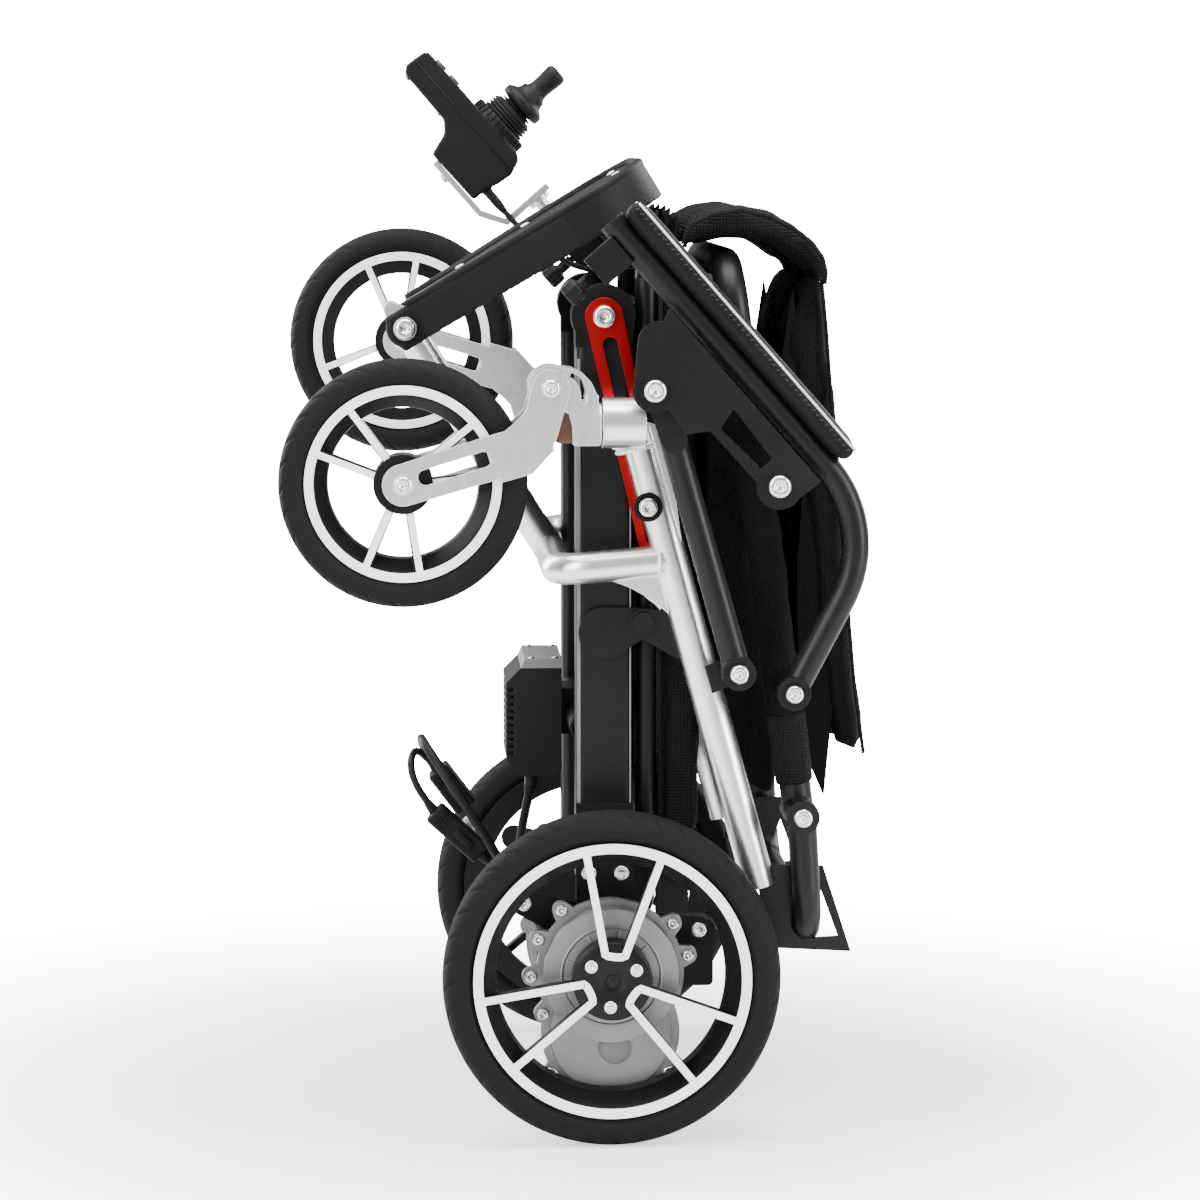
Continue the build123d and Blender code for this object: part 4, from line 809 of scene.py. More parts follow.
class CHAIR_OT_caster_wheels(bpy.types.Operator):
    """Tyres, bright faces, rubber blocks and axle bolts of the casters"""
    bl_idname = "chair.caster_wheels"
    bl_label = "Caster wheels"

    def execute(self, context):
        sizes = context.scene.chair_wheels
        for name, side in SIDES:
            body = "caster_wheel_" + name
            low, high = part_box("caster_tyre_" + name)
            rim_low, rim_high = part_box("caster_rim_" + name)
            centre = (rim_low + rim_high) / 2
            radius, seat = (high.x - low.x) / 2, (rim_high.x - rim_low.x) / 2
            mesh = tyre_mesh("tyre", centre, radius, seat, high.y - low.y, sizes.caster_grooves, -1.0, 360)
            tyre = make_object("tread_caster_" + name, mesh, MAT["tyre_rubber"])
            finish_piece(tyre, body, "tyre_rubber", "caster_tyre_" + name)
            up = -1 if side > 0 else 1
            angles = [a * up for a in CASTER_SPOKES]
            for face_side in (-1, 1):
                y = centre.y + face_side * 0.0152
                face = wheel_face(f"caster_face_{name}_{'ab'[face_side > 0]}", centre, y, face_side,
                                  seat - 0.0003, 0.0085, 0.027, angles, 17.5, sizes.spoke_line * 0.9)
                finish_piece(face, body, "rim_black")
            swing, fork = "caster_swing_" + name, "caster_fork_" + name
            pivot = joint_at("caster_spring_" + name)
            arm_low, arm_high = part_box("caster_arm_" + name)
            spots = []
            for y, d in ((arm_low.y, -1), (arm_high.y, 1)):
                spots += [(Vector((p.x, y - d * 0.0005, p.z)), Vector((0, d, 0))) for p in (pivot, centre)]
            bolts("caster_bolts_" + name, spots, swing, "steel", 0.0082, 0.0036)
            stem = joint_at("caster_swivel_" + name)

            def rel(x, y, z):
                return Vector((AXLE.x + x / 1000, stem.y + y / 1000, stem.z + up * z / 1000))
            shape = [(FORK_PIVOT[0] + x, FORK_PIVOT[1] + z)
                     for x, z in arc_points((0, 0), 20.5, math.radians(295), math.radians(65), 16)]
            shape += [(-36, 50), (-27, 46), (-19, 38), (-13.5, 26), (-11, 12), (-10.5, -18), (-12, -19.5),
                      (-34, -19.5), (-35.5, -18), (-36, -2), (-39, 9)]
            slot = strip([(-38, 44), (-32, 41.5), (-28, 36), (-25.8, 29), (-25, 20)], 2.8)
            cheeks = [prism([rel(x, y, z) for x, z in shape], Vector((0, 0.0055, 0)),
                            [[rel(x, y, z) for x, z in slot]])
                      for y in (-22.5, 17.0)]
            web = [rel(x, y, z) for z in (-19, 26)
                   for x, y in ((-24, -17.5), (-12, -17.5), (-12, 17.5), (-24, 17.5))]
            cheeks.append(block("web", web, 0.001, 2))
            turn = [(0, 0), (0.018, 0), (0.018, 0.0050), (0.0085, 0.0054), (0.0085, 0.034), (0, 0.034)]
            cheeks.append(turned("collar", turn, rel(-14, 0, 0), Vector((1, 0, 0)), 48))
            finish_piece(joined("bracket_" + name, cheeks, MAT["silver_plate"], False), fork, "silver_plate",
                         "caster_bracket_" + name)
            corners = [rel(x, y, z) for x in (-50, -33)
                       for y, z in ((-14, -18), (14, -18), (14, 12), (-14, 12))]
            rubber = make_object("caster_block_" + name, block("rubber", corners, 0.003), MAT["elastomer"])
            finish_piece(rubber, fork, "soft_rubber")
        return {"FINISHED"}


# ---- cables ---------------------------------------------------------------------------------
def nurbs_cord(name, points, diameter):
    curve = bpy.data.curves.new(name, "CURVE")
    curve.dimensions = "3D"
    spline = curve.splines.new("NURBS")
    spline.points.add(len(points) - 1)
    for target, p in zip(spline.points, points):
        target.co = (*p, 1)
    spline.order_u = 3
    spline.use_endpoint_u = True
    curve.resolution_u = 8
    curve.bevel_depth = diameter / 2
    curve.bevel_resolution = 5
    curve.use_fill_caps = True
    curve.materials.append(MAT["cable_jacket"])
    obj = bpy.data.objects.new(name, curve)
    bpy.context.scene.collection.objects.link(obj)
    return obj


def curve_length(obj):
    """Length of a cord's own middle line."""
    depth = obj.data.bevel_depth
    obj.data.bevel_depth = 0
    bpy.context.view_layer.update()
    mesh = bpy.data.meshes.new_from_object(obj.evaluated_get(bpy.context.evaluated_depsgraph_get()))
    total = sum((mesh.vertices[e.vertices[0]].co - mesh.vertices[e.vertices[1]].co).length
                for e in mesh.edges)
    obj.data.bevel_depth = depth
    return total


class CHAIR_OT_cables(bpy.types.Operator):
    """Motor, jumper, controller and joystick cables with their strain reliefs"""
    bl_idname = "chair.cables"
    bl_label = "Cables"

    def execute(self, context):
        routes = (
            ("motor_cable", [at(*p) for p in MOTOR_LEAD], 0.009, "motor_lead", "drive_frame"),
            ("jumper_cable", [at(*p) for p in JUMPER_LEAD], 0.007, "jumper_lead", "drive_frame"),
            ("controller_cable", [at(*p) for p in CONTROLLER_LEAD], 0.009, "controller_lead", "drive_frame"),
            ("stick_cable", [on_arm(s, n, y) for s, y, n in JOYSTICK_CABLE], 0.006, "joystick_cable",
             "armrests"),
        )
        for name, points, diameter, node, body in routes:
            cord = nurbs_cord(name, points, diameter)
            finish_piece(cord, body, "cable_jacket", node)
            ends = [(points[0], points[1]), (points[-1], points[-2])]
            reliefs = []
            for end, ahead in ends:
                d = (ahead - end).normalized()
                r = diameter / 2
                profile = [(r * 0.9, 0.012), (r * 1.12, 0.012), (r * 1.16, 0.010), (r * 1.3, 0.007),
                           (r * 1.32, 0.0065), (r * 1.45, 0.004), (r * 1.5, 0.0), (r * 0.9, 0.0)]
                reliefs.append(turned("relief", profile + profile[:1], end, d, 24))
            relief = joined(name + "_reliefs", reliefs, MAT["soft_rubber"])
            finish_piece(relief, body, "soft_rubber")
            curve_length(cord)
        return {"FINISHED"}


class CHAIR_OT_connectors(bpy.types.Operator):
    """Latches, ribs and the pale contact barrel of the cable plugs"""
    bl_idname = "chair.connectors"
    bl_label = "Cable plugs"

    def execute(self, context):
        parts = []
        for top, bottom, y in (((-157, 316), (-129, 279), -54.0), ((-161, 285), (-116, 244), -109.0)):
            a, b = at(top[0], y, top[1]), at(bottom[0], y, bottom[1])
            run = (b - a).normalized()
            across = Vector((-run.z, 0, run.x))
            for i in range(4):
                p = a.lerp(b, 0.12 + 0.05 * i)
                corners = [p + run * u + across * v + Vector((0, w, 0)) for w in (-0.0012, 0.002)
                           for u, v in ((-0.0008, -0.008), (0.0008, -0.008), (0.0008, 0.008),
                                        (-0.0008, 0.008))]
                parts.append(block("rib", corners, 0.0004, 2))
            p = a.lerp(b, 0.62)
            corners = [p + run * u + across * v + Vector((0, w, 0)) for w in (-0.0022, 0.002)
                       for u, v in ((-0.011, -0.004), (0.011, -0.0035), (0.011, 0.0035), (-0.011, 0.004))]
            parts.append(block("latch", corners, 0.0009, 2))
        obj = joined("plug_details", parts, MAT["black_plastic"])
        finish_piece(obj, "drive_frame", "black_plastic")
        a, b = at(-128, -84, 277), at(-115, -84, 248)
        length = (b - a).length
        profile = [(0.0, -0.0005), (0.0045, -0.0005)]
        for i in range(3):
            h = length * i / 3
            profile += [(0.0058, h + 0.0004), (0.0062, h + 0.003), (0.0062, h + length / 3 - 0.0022),
                        (0.0050, h + length / 3 - 0.0008)]
        profile += [(0.0040, length + 0.001), (0.0, length + 0.002)]
        barrel = turned("barrel", profile, a, b - a, 28)
        finish_piece(make_object("contact_barrel", barrel, MAT["contact_grey"]), "drive_frame", "lid_grey")
        return {"FINISHED"}


# ---- frame details --------------------------------------------------------------------------
class CHAIR_OT_frame_details(bpy.types.Operator):
    """Weld beads on the silver frame, screw heads on every pivot and grey strips painted as highlights down the
    edges of the beams
    """
    bl_idname = "chair.frame_details"
    bl_label = "Frame details"

    def execute(self, context):
        beads, spots = [], []
        upper, lower = (at(x, 0, z) for x, z in SIDE_TUBE)
        side_dir = (upper - lower).normalized()
        for _, side in SIDES:
            y = side * SIDE_TUBE_Y
            beads.append(weld_ring("bead", at(10, side * 222, 655), Vector((0, 1, 0.15)), 0.0165, 1.15, 34))
            beads.append(weld_ring("bead", at(46, y, 533), Vector((1, 0, 0)), 0.0152, 1.0, 34))
            beads.append(weld_ring("bead", at(24, side * 209, 636), side_dir, 0.0172, 1.0, 34))
            line = [at(-9 + 5.2 * i, side * 203.5, 516.8 - 0.045 * (i * 2.3) ** 2) for i in range(12)]
            beads.append(swept("bead", line, 0.0022, 8, False, lambda i: 0.8 + 0.35 * (i % 2)))
            line = [at(60 - 3.6 * i, side * 212, 546 + 10.6 * i) for i in range(11)]
            beads.append(swept("bead", line, 0.0022, 8, False, lambda i: 0.8 + 0.35 * (i % 2)))
            out = Vector((0, side, 0))
            spots.append((at(SLOT_PIN[0], side * 228.5, SLOT_PIN[1]), out))
        finish_piece(joined("weld_beads", beads, MAT["weld"]), "front_frame", "silver_frame")
        for side in (-1, 1):
            out = Vector((0, side, 0))
            hinge = Vector((BACK_HINGE.x, side * 0.2405, BACK_HINGE.z))
            spots.append((hinge, out))
            link = Vector((LINK_HINGE.x, side * 0.2635, LINK_HINGE.z))
            spots.append((link, out))
        bolts("front_frame_heads", spots, "front_frame", "steel", 0.0088, 0.0042)
        rings = [turned("washer",
                        [(0.0088, 0.0), (0.0125, 0.0), (0.0135, 0.001), (0.0125, 0.003), (0.009, 0.0032),
                         (0.0088, 0)],
                        at(SLOT_PIN[0], side * 224.5, SLOT_PIN[1]), Vector((0, side, 0)),
                        40) for side in (-1, 1)]
        finish_piece(joined("slot_washers", rings, MAT["soft_rubber"]), "front_frame", "soft_rubber")
        heads = [(Vector((HEAD.x, side * 0.195, HEAD.z)), Vector((0, side, 0))) for side in (-1, 1)]
        bolts("beam_end_heads", heads, "drive_frame", "steel", 0.0105, 0.0045)
        heads = [(Vector((ARM_HINGE.x, side * 0.2635, ARM_HINGE.z)),
                  Vector((0, side, 0))) for side in (-1, 1)]
        bolts("back_bow_heads", heads, "backrest", "steel", 0.0082, 0.0036)
        heads = [(at(x, side * 269.8, z), Vector((0, side, 0))) for side in (-1, 1)
                 for x, z in ARM_PLATE_HOLES]
        bolts("arm_plate_heads", heads, "armrests", "steel", 0.0105, 0.0042)
        heads = [(Vector((FOOT_HINGE.x, side * 0.0790, FOOT_HINGE.z)),
                  Vector((0, side, 0))) for side in (-1, 1)]
        bolts("foot_hinge_heads", heads, "front_frame", "steel", 0.0098, 0.004)
        # painted highlights: thin grey strips down the edges of the black beams stand in for the light caught on
        # those edges
        highlight_strips = []
        for _, side in SIDES:
            for x0, x1 in ((-28.5, -25.5), (19.6, 21.2)):
                corners = [at(x, side * y, z) for z in (262, 716)
                           for x, y in ((x0, 183.2), (x1, 183.2), (x1, 184.6), (x0, 184.6))]
                highlight_strips.append(block("strip", corners, 0.0004, 2))
        finish_piece(joined("beam_strips", highlight_strips, MAT["lid_grey"]), "drive_frame", "lid_grey")
        return {"FINISHED"}


class CHAIR_OT_drive_details(bpy.types.Operator):
    """Housing screws, motor end cap, brake box screws and the ribs of the drive units"""
    bl_idname = "chair.drive_details"
    bl_label = "Drive unit details"

    def execute(self, context):
        low_z = AXLE.z * 1000 - 56
        spots, ribs = [], []
        for _, side in SIDES:
            out = Vector((0, side, 0))
            for angle in (12, 38, 128, 155, 183, 212):
                t = math.radians(angle)
                spots.append((at(73 * math.cos(t), side * 226, AXLE.z * 1000 + 73 * math.sin(t)), out))
            for angle in (-35, 215, 250, 290):
                t = math.radians(angle)
                spots.append((at(66 * math.cos(t), side * 226, low_z + 66 * math.sin(t)), out))
            centre = Vector((AXLE.x, side * 0.245, AXLE.z))
            profile = [(0.044, -0.0008), (0.0445, 0.0009), (0.047, 0.0009), (0.0475, -0.0008)]
            ribs.append(turned("step", profile + profile[:1], centre, out, 72))
            profile = [(0.024, -0.0008), (0.0245, 0.0014), (0.028, 0.0014), (0.0285, -0.0008)]
            ribs.append(turned("step", profile + profile[:1], centre, out, 72))
            for i in range(9):
                t = 2 * math.pi * i / 9
                a = Vector((math.cos(t), 0, math.sin(t)))
                b = Vector((-math.sin(t), 0, math.cos(t)))
                corners = [centre + a * r + b * w + out * h for h in (-0.0008, 0.0012)
                           for r, w in ((0.030, -0.001), (0.043, -0.001), (0.043, 0.001), (0.030, 0.001))]
                ribs.append(block("rib", corners, 0.0004, 2))
        caps = [turned("cap", [(0, 0.0012), (0.0135, 0.0012), (0.0145, 0.0002), (0.0148, -0.002),
                               (0, -0.002)],
                       at(4, side * 232, 83.7), Vector((0, side, 0)), 48) for side in (-1, 1)]
        finish_piece(joined("housing_caps", caps, MAT["lid_grey"]), "drive_frame", "grey_casting")
        bolts("housing_screws", spots, "drive_frame", "steel", 0.0058, 0.0036, socket=0.5)
        finish_piece(joined("housing_steps", ribs, MAT["grey_casting"]), "drive_frame", "grey_casting")
        lugs = [(at(x, side * 190, z), Vector((0, side, 0))) for side in (-1, 1)
                for x, z in ((-78, 212), (84, 186), (-18, 240), (12, 240), (-18, 285), (12, 285))]
        bolts("plate_bolts", lugs, "drive_frame", "steel", 0.0075, 0.0045)
        box_low, box_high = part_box("controller_lid")
        spots = [(Vector((x, y, box_high.z)),
                  Vector((0, 0, 1))) for x in (box_low.x + 0.010, box_high.x - 0.006)
                 for y in (box_low.y + 0.008, box_high.y - 0.008)]
        bolts("lid_screws", spots, "drive_frame", "steel", 0.0030, 0.0015)
        return {"FINISHED"}


# ---- soft goods -----------------------------------------------------------------------------
def puffed(obj, voxel, pressure, cap, steps=20):
    """Blows a closed mesh up a little as cloth, with each point kept near its start."""
    remesh = obj.modifiers.new("even", "REMESH")
    remesh.mode = "VOXEL"
    remesh.voxel_size = voxel
    baked(obj)
    start = [v.co.copy() for v in obj.data.vertices]
    cloth = obj.modifiers.new("cloth", "CLOTH")
    cloth.settings.use_pressure = True
    cloth.settings.uniform_pressure_force = pressure
    cloth.settings.effector_weights.gravity = 0
    cloth.settings.quality = 5
    cloth.settings.mass = 0.25
    cloth.point_cache.frame_start = 1
    cloth.point_cache.frame_end = steps
    scene = bpy.context.scene
    for i in range(1, steps + 1):
        scene.frame_set(i)
    graph = bpy.context.evaluated_depsgraph_get()
    moved = [v.co.copy() for v in obj.evaluated_get(graph).data.vertices]
    obj.modifiers.clear()
    scene.frame_set(1)
    for v, a, b in zip(obj.data.vertices, start, moved):
        step = b - a
        if step.length > cap:
            step = step.normalized() * cap
        v.co = a + step
    smooth = obj.modifiers.new("round", "SUBSURF")
    smooth.levels = smooth.render_levels = 1
    baked(obj)
    obj.data.shade_smooth()
    return obj


def crease(obj, size, height, stretch, seed):
    """Soft folds pressed into a cloth piece along its normals."""
    mesh = obj.data
    normals = [v.normal.copy() for v in mesh.vertices]
    for v, n in zip(mesh.vertices, normals):
        p = Vector((v.co.x * stretch[0], v.co.y * stretch[1],
                    v.co.z * stretch[2])) / size + Vector((seed, 0, 0))
        fold = 1 - abs(noise.noise(p)) * 2.2
        v.co += n * height * (max(0.0, fold) ** 3 - 0.25)
    mesh.update()


def stuffed(obj, voxel, pressure, cap, look):
    """Fills a closed mesh and gives it back its material, which the remesh drops."""
    puffed(obj, voxel, pressure, cap)
    obj.data.materials.clear()
    obj.data.materials.append(MAT[look])


def skinned(name, bm, grid):
    """Mesh of a closed ring carried from row to row, with both ends shut."""
    count = len(grid[0])
    for near, far in zip(grid, grid[1:]):
        for i in range(count):
            j = (i + 1) % count
            bm.faces.new((near[i], near[j], far[j], far[i]))
    bm.faces.new(grid[0])
    bm.faces.new(list(reversed(grid[-1])))
    bmesh.ops.recalc_face_normals(bm, faces=bm.faces)
    mesh = bpy.data.meshes.new(name)
    bm.to_mesh(mesh)
    bm.free()
    return mesh


def cloth_block(name, corners, bevel, look, voxel=0.005, pressure=4.0, cap=0.008):
    obj = make_object(name, block(name, corners, bevel, 4), MAT[look])
    stuffed(obj, voxel, pressure, cap, look)
    return obj


def slab_corners(quad, y0, y1):
    """Eight corners of an (X, Z) quadrilateral between two distances from the middle."""
    return [at(x, y, z) for y in (y0, y1) for x, z in quad]


def piping(name, points, radius, body, look="webbing", slot_name="black_fabric", closed=False):
    obj = make_object(name, swept(name, points, radius, 8, closed), MAT[look])
    return finish_piece(obj, body, slot_name)


def stitch_mesh():
    """One short thread, lying along +X with its back to -Z."""
    path = [Vector((-0.0016 + 0.0032 * i / 6, 0, 0.0003 * math.sin(math.pi * i / 6))) for i in range(7)]
    return swept("stitch", path, 0.00035, 6)


class CHAIR_PG_cloth(bpy.types.PropertyGroup):
    voxel: bpy.props.FloatProperty(name="Cloth detail", description="Edge of a cloth cell", default=0.0055,
                                   unit="LENGTH")
    pressure: bpy.props.FloatProperty(name="Filling", description="Pressure of the stuffing", default=4.0)


class CHAIR_OT_upholstery(bpy.types.Operator):
    """Seat, back cushion, bow hood and pocket flap"""
    bl_idname = "chair.upholstery"
    bl_label = "Upholstery"

    def seat(self, cloth):
        quad = ((47.5, 268), (83, 268), (83, 794), (47.5, 794))
        obj = cloth_block("seat_cushion", slab_corners(quad, -168, 168), 0.008, "mesh_cloth",
                          cloth.voxel * 1.3, cloth.pressure, 0.004)
        crease(obj, 0.10, 0.0025, (1, 1.6, 0.5), 3.0)
        finish_piece(obj, "seat", "black_fabric", "seat_sling")
        folds = []
        for i, (x, top, lean) in enumerate(((42, 850, 4), (50, 853, 8), (58, 846, 14))):
            rows = []
            for k in range(25):
                y = -148 + 296 * k / 24
                wave = 5 * math.sin(k * 0.9 + i * 2) + 3 * math.sin(k * 2.3 + i)
                rows.append([at(x + lean * (t - 0.3) + wave * t * 0.4, y, 792 + (top - 792 + wave * 0.6) * t)
                             for t in (0, 0.25, 0.5, 0.75, 1.0)])
            verts = [p for row in rows for p in row]
            faces = [(a * 5 + b, a * 5 + b + 1, a * 5 + b + 6,
                      a * 5 + b + 5) for a in range(24) for b in range(4)]
            folds.append(mesh_from("fold", verts, faces))
        hem = joined("seat_front_folds", folds, MAT["cloth"])
        solid = hem.modifiers.new("thick", "SOLIDIFY")
        solid.thickness = 0.0032
        smooth = hem.modifiers.new("round", "SUBSURF")
        smooth.levels = smooth.render_levels = 2
        baked(hem)
        hem.data.shade_smooth()
        finish_piece(hem, "seat", "black_fabric")
        for side in (-1, 1):
            edge = [at(49, side * 169.5, 275), at(49, side * 170.5, 530), at(49, side * 169.5, 788)]
            piping(f"seat_piping_{'lr'[side > 0]}", edge, 0.002, "seat")

    def back(self, cloth):
        top = at(BACK_TOP[0], 0, BACK_TOP[1])
        d = (top - BACK_HINGE)
        d.y = 0
        d.normalize()
        n = Vector((d.z, 0, -d.x))
        hinge = Vector((BACK_HINGE.x, 0, BACK_HINGE.z))
        corners = [hinge + d * s + n * t + Vector((0, y, 0)) for y in (-0.166, 0.166)
                   for s, t in ((0.080, -0.014), (0.450, -0.014), (0.450, 0.014), (0.080, 0.014))]
        obj = cloth_block("back_cushion", corners, 0.009, "mesh_cloth", cloth.voxel * 1.2, cloth.pressure,
                          0.007)
        crease(obj, 0.09, 0.003, (1, 1.4, 0.6), 9.0)
        finish_piece(obj, "backrest", "black_fabric", "back_sling")
        sleeves, straps = [], []
        for side in (-1, 1):
            foot = hinge + Vector((0, side * 0.190, 0))
            profile = [(0.0148, 0.075)] + [(0.0166 + 0.0006 * math.sin(i * 1.3),
                                            0.078 + 0.009 * i) for i in range(40)]
            profile += [(0.0148, 0.438), (0.0148, 0.075)]
            sleeves.append(turned("sleeve", profile, foot, d, 40,
                                  lambda t, r,
                                  h: r + (0.0007 * math.sin(3 * t + h * 55) if r > 0.015 else 0)))
            profile = [(0.0148, 0.026), (0.0172, 0.028), (0.0178, 0.050), (0.0184, 0.088), (0.0180, 0.092),
                       (0.0148, 0.092), (0.0148, 0.026)]
            straps.append(turned("strap", profile, foot, d, 40, lambda t, r, h: r + 0.0005 * math.sin(4 * t)))
        finish_piece(joined("leg_sleeves", sleeves, MAT["cloth"]), "backrest", "black_fabric")
        finish_piece(joined("leg_straps", straps, MAT["mesh_cloth"]), "backrest", "black_fabric")
        sag = [(93, 742), (93, 640), (93, 480), (99, 400), (113, 346), (135, 315), (152, 304), (160, 318),
               (146, 430), (124, 600), (108, 742)]
        fold = make_object("back_sag", prism([at(x, -167, z) for x, z in sag], Vector((0, 0.334, 0))),
                           MAT["cloth"])
        stuffed(fold, cloth.voxel * 1.2, cloth.pressure, 0.003, "cloth")
        crease(fold, 0.06, 0.0035, (1.2, 1.8, 0.35), 21.0)
        finish_piece(fold, "backrest", "black_fabric")

    def hood(self, cloth):
        """Padded cover over the bow's bar: an arched strap with a fold down its front."""
        upper = [(70, 818), (76, 838), (96, 848), (122, 852), (148, 846), (170, 835), (187, 822), (197, 808),
                 (200, 795), (199, 784)]
        lower = [(74, 818), (84, 824), (102, 829), (122, 830), (146, 826), (160, 819), (172, 810), (183, 803),
                 (190, 794), (192, 783)]
        rows = 34
        bm = bmesh.new()
        ring = upper + list(reversed(lower))
        grid = []
        for k in range(rows + 1):
            y = -180 + 360 * k / rows
            sag = 1 - 0.10 * math.sin(math.pi * k / rows)
            edge = min(k, rows - k) / rows
            pinch = min(1.0, 0.6 + edge * 9)
            mid = [((a[0] + b[0]) / 2, (a[1] + b[1]) / 2) for a, b in zip(ring, reversed(ring))]
            row = []
            for i, (x, z) in enumerate(ring):
                mx, mz = mid[i]
                wave = 1.4 * math.sin(k * 1.7 + i * 0.9) * math.sin(k * 0.53)
                row.append(bm.verts.new(at(mx + (x - mx) * pinch, y, mz + (z - mz) * pinch * sag + wave)))
            grid.append(row)
        obj = make_object("bow_hood", skinned("hood", bm, grid), MAT["mesh_cloth"])
        stuffed(obj, cloth.voxel * 0.8, cloth.pressure, 0.004, "mesh_cloth")
        crease(obj, 0.05, 0.0016, (0.6, 1.6, 1), 5.0)
        finish_piece(obj, "backrest", "black_fabric", "back_top_pad")
        for side in (-1, 1):
            y = side * 181.5
            path = [at(x, y, z) for x, z in upper]
            piping(f"hood_piping_{'lr'[side > 0]}", path, 0.0022, "backrest")

    def flap(self, cloth):
        """Pocket flap: a thick cloth panel with hanging folds and a turned hem."""
        front = [(187, 792), (168, 742), (176, 690), (188, 600), (198, 500), (208, 410), (219, 354)]
        rear = [(198, 792), (203, 742), (207, 690), (215, 600), (223, 500), (231, 412), (240, 346)]
        rows = 30
        bm = bmesh.new()
        ring = front + list(reversed(rear))
        grid = []
        for k in range(rows + 1):
            y = -158 + 316 * k / rows
            row = []
            for i, (x, z) in enumerate(ring):
                down = (797 - z) / 450
                wave = (3.2 * math.sin(k * 0.8 + down * 4) + 1.8 * math.sin(k * 1.9 + down * 7)) * down
                row.append(bm.verts.new(at(x + wave * 0.8, y, z + wave * 0.8 * (1 if i in (6, 7) else 0))))
            grid.append(row)
        obj = make_object("pocket_flap", skinned("flap", bm, grid), MAT["cloth"])
        stuffed(obj, cloth.voxel, cloth.pressure, 0.004, "cloth")
        crease(obj, 0.07, 0.003, (1, 1.5, 0.45), 12.0)
        finish_piece(obj, "backrest", "black_fabric", "back_flap")
        for side in (-1, 1):
            path = [at(x, side * 159.5, z) for x, z in rear]
            piping(f"flap_hem_{'lr'[side > 0]}", path, 0.0018, "backrest")
        leaves = []
        for side in (-1, 1):
            for shape, y in (([(186, 640), (206, 520), (215, 420), (204, 304), (192, 332), (180, 400),
                               (178, 520)], 150),
                             ([(172, 780), (184, 700), (190, 600), (176, 640), (160, 700)], 154)):
                leaves.append(prism([at(x, side * y, z) for x, z in shape], Vector((0, -side * 0.004, 0))))
        leaf = joined("flap_leaves", leaves, MAT["cloth"], False)
        finish_piece(leaf, "backrest", "black_fabric")

    def execute(self, context):
        cloth = context.scene.chair_cloth
        self.seat(cloth)
        self.back(cloth)
        self.hood(cloth)
        self.flap(cloth)
        return {"FINISHED"}


class CHAIR_OT_arm_pads(bpy.types.Operator):
    """Armrest pads with a crowned skin, a pale piping painted as the edge highlight and seam stitches"""
    bl_idname = "chair.arm_pads"
    bl_label = "Armrest pads"

    def execute(self, context):
        cloth = context.scene.chair_cloth
        for name, side in SIDES:
            y_mid = side * 243.0
            corners = [on_arm(s, n, y_mid + w) for n in (13.8, 30.5)
                       for s, w in ((0, -25), (302, -25), (302, 25), (0, 25))]
            obj = cloth_block("arm_pad_" + name, corners, 0.005, "pad_skin", cloth.voxel * 0.75,
                              cloth.pressure, 0.003)
            finish_piece(obj, "armrests", "pad_foam")
            for edge in (-1, 1):
                y = y_mid + edge * 27.2
                # pale piping along each top edge of the pad: a painted highlight
                path = [on_arm(s, 28.5 - 0.0, y) for s in (3, 60, 150, 240, 299)]
                piping(f"pad_piping_{name}_{'ab'[edge > 0]}", path, 0.0011, "armrests", "piping", "pad_foam")
        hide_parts("arm_pads")
        spots = [(on_arm(6 + 6.0 * i, 24.0, side * (243.0 + 27.6 * edge)), Vector((0, side * edge, 0)))
                 for side in (-1, 1) for edge in (-1, 1) for i in range(49)]
        finish_piece(repeated("pad_stitches", stitch_mesh(), spots, MAT["thread"]), "armrests", "pad_foam")
        return {"FINISHED"}


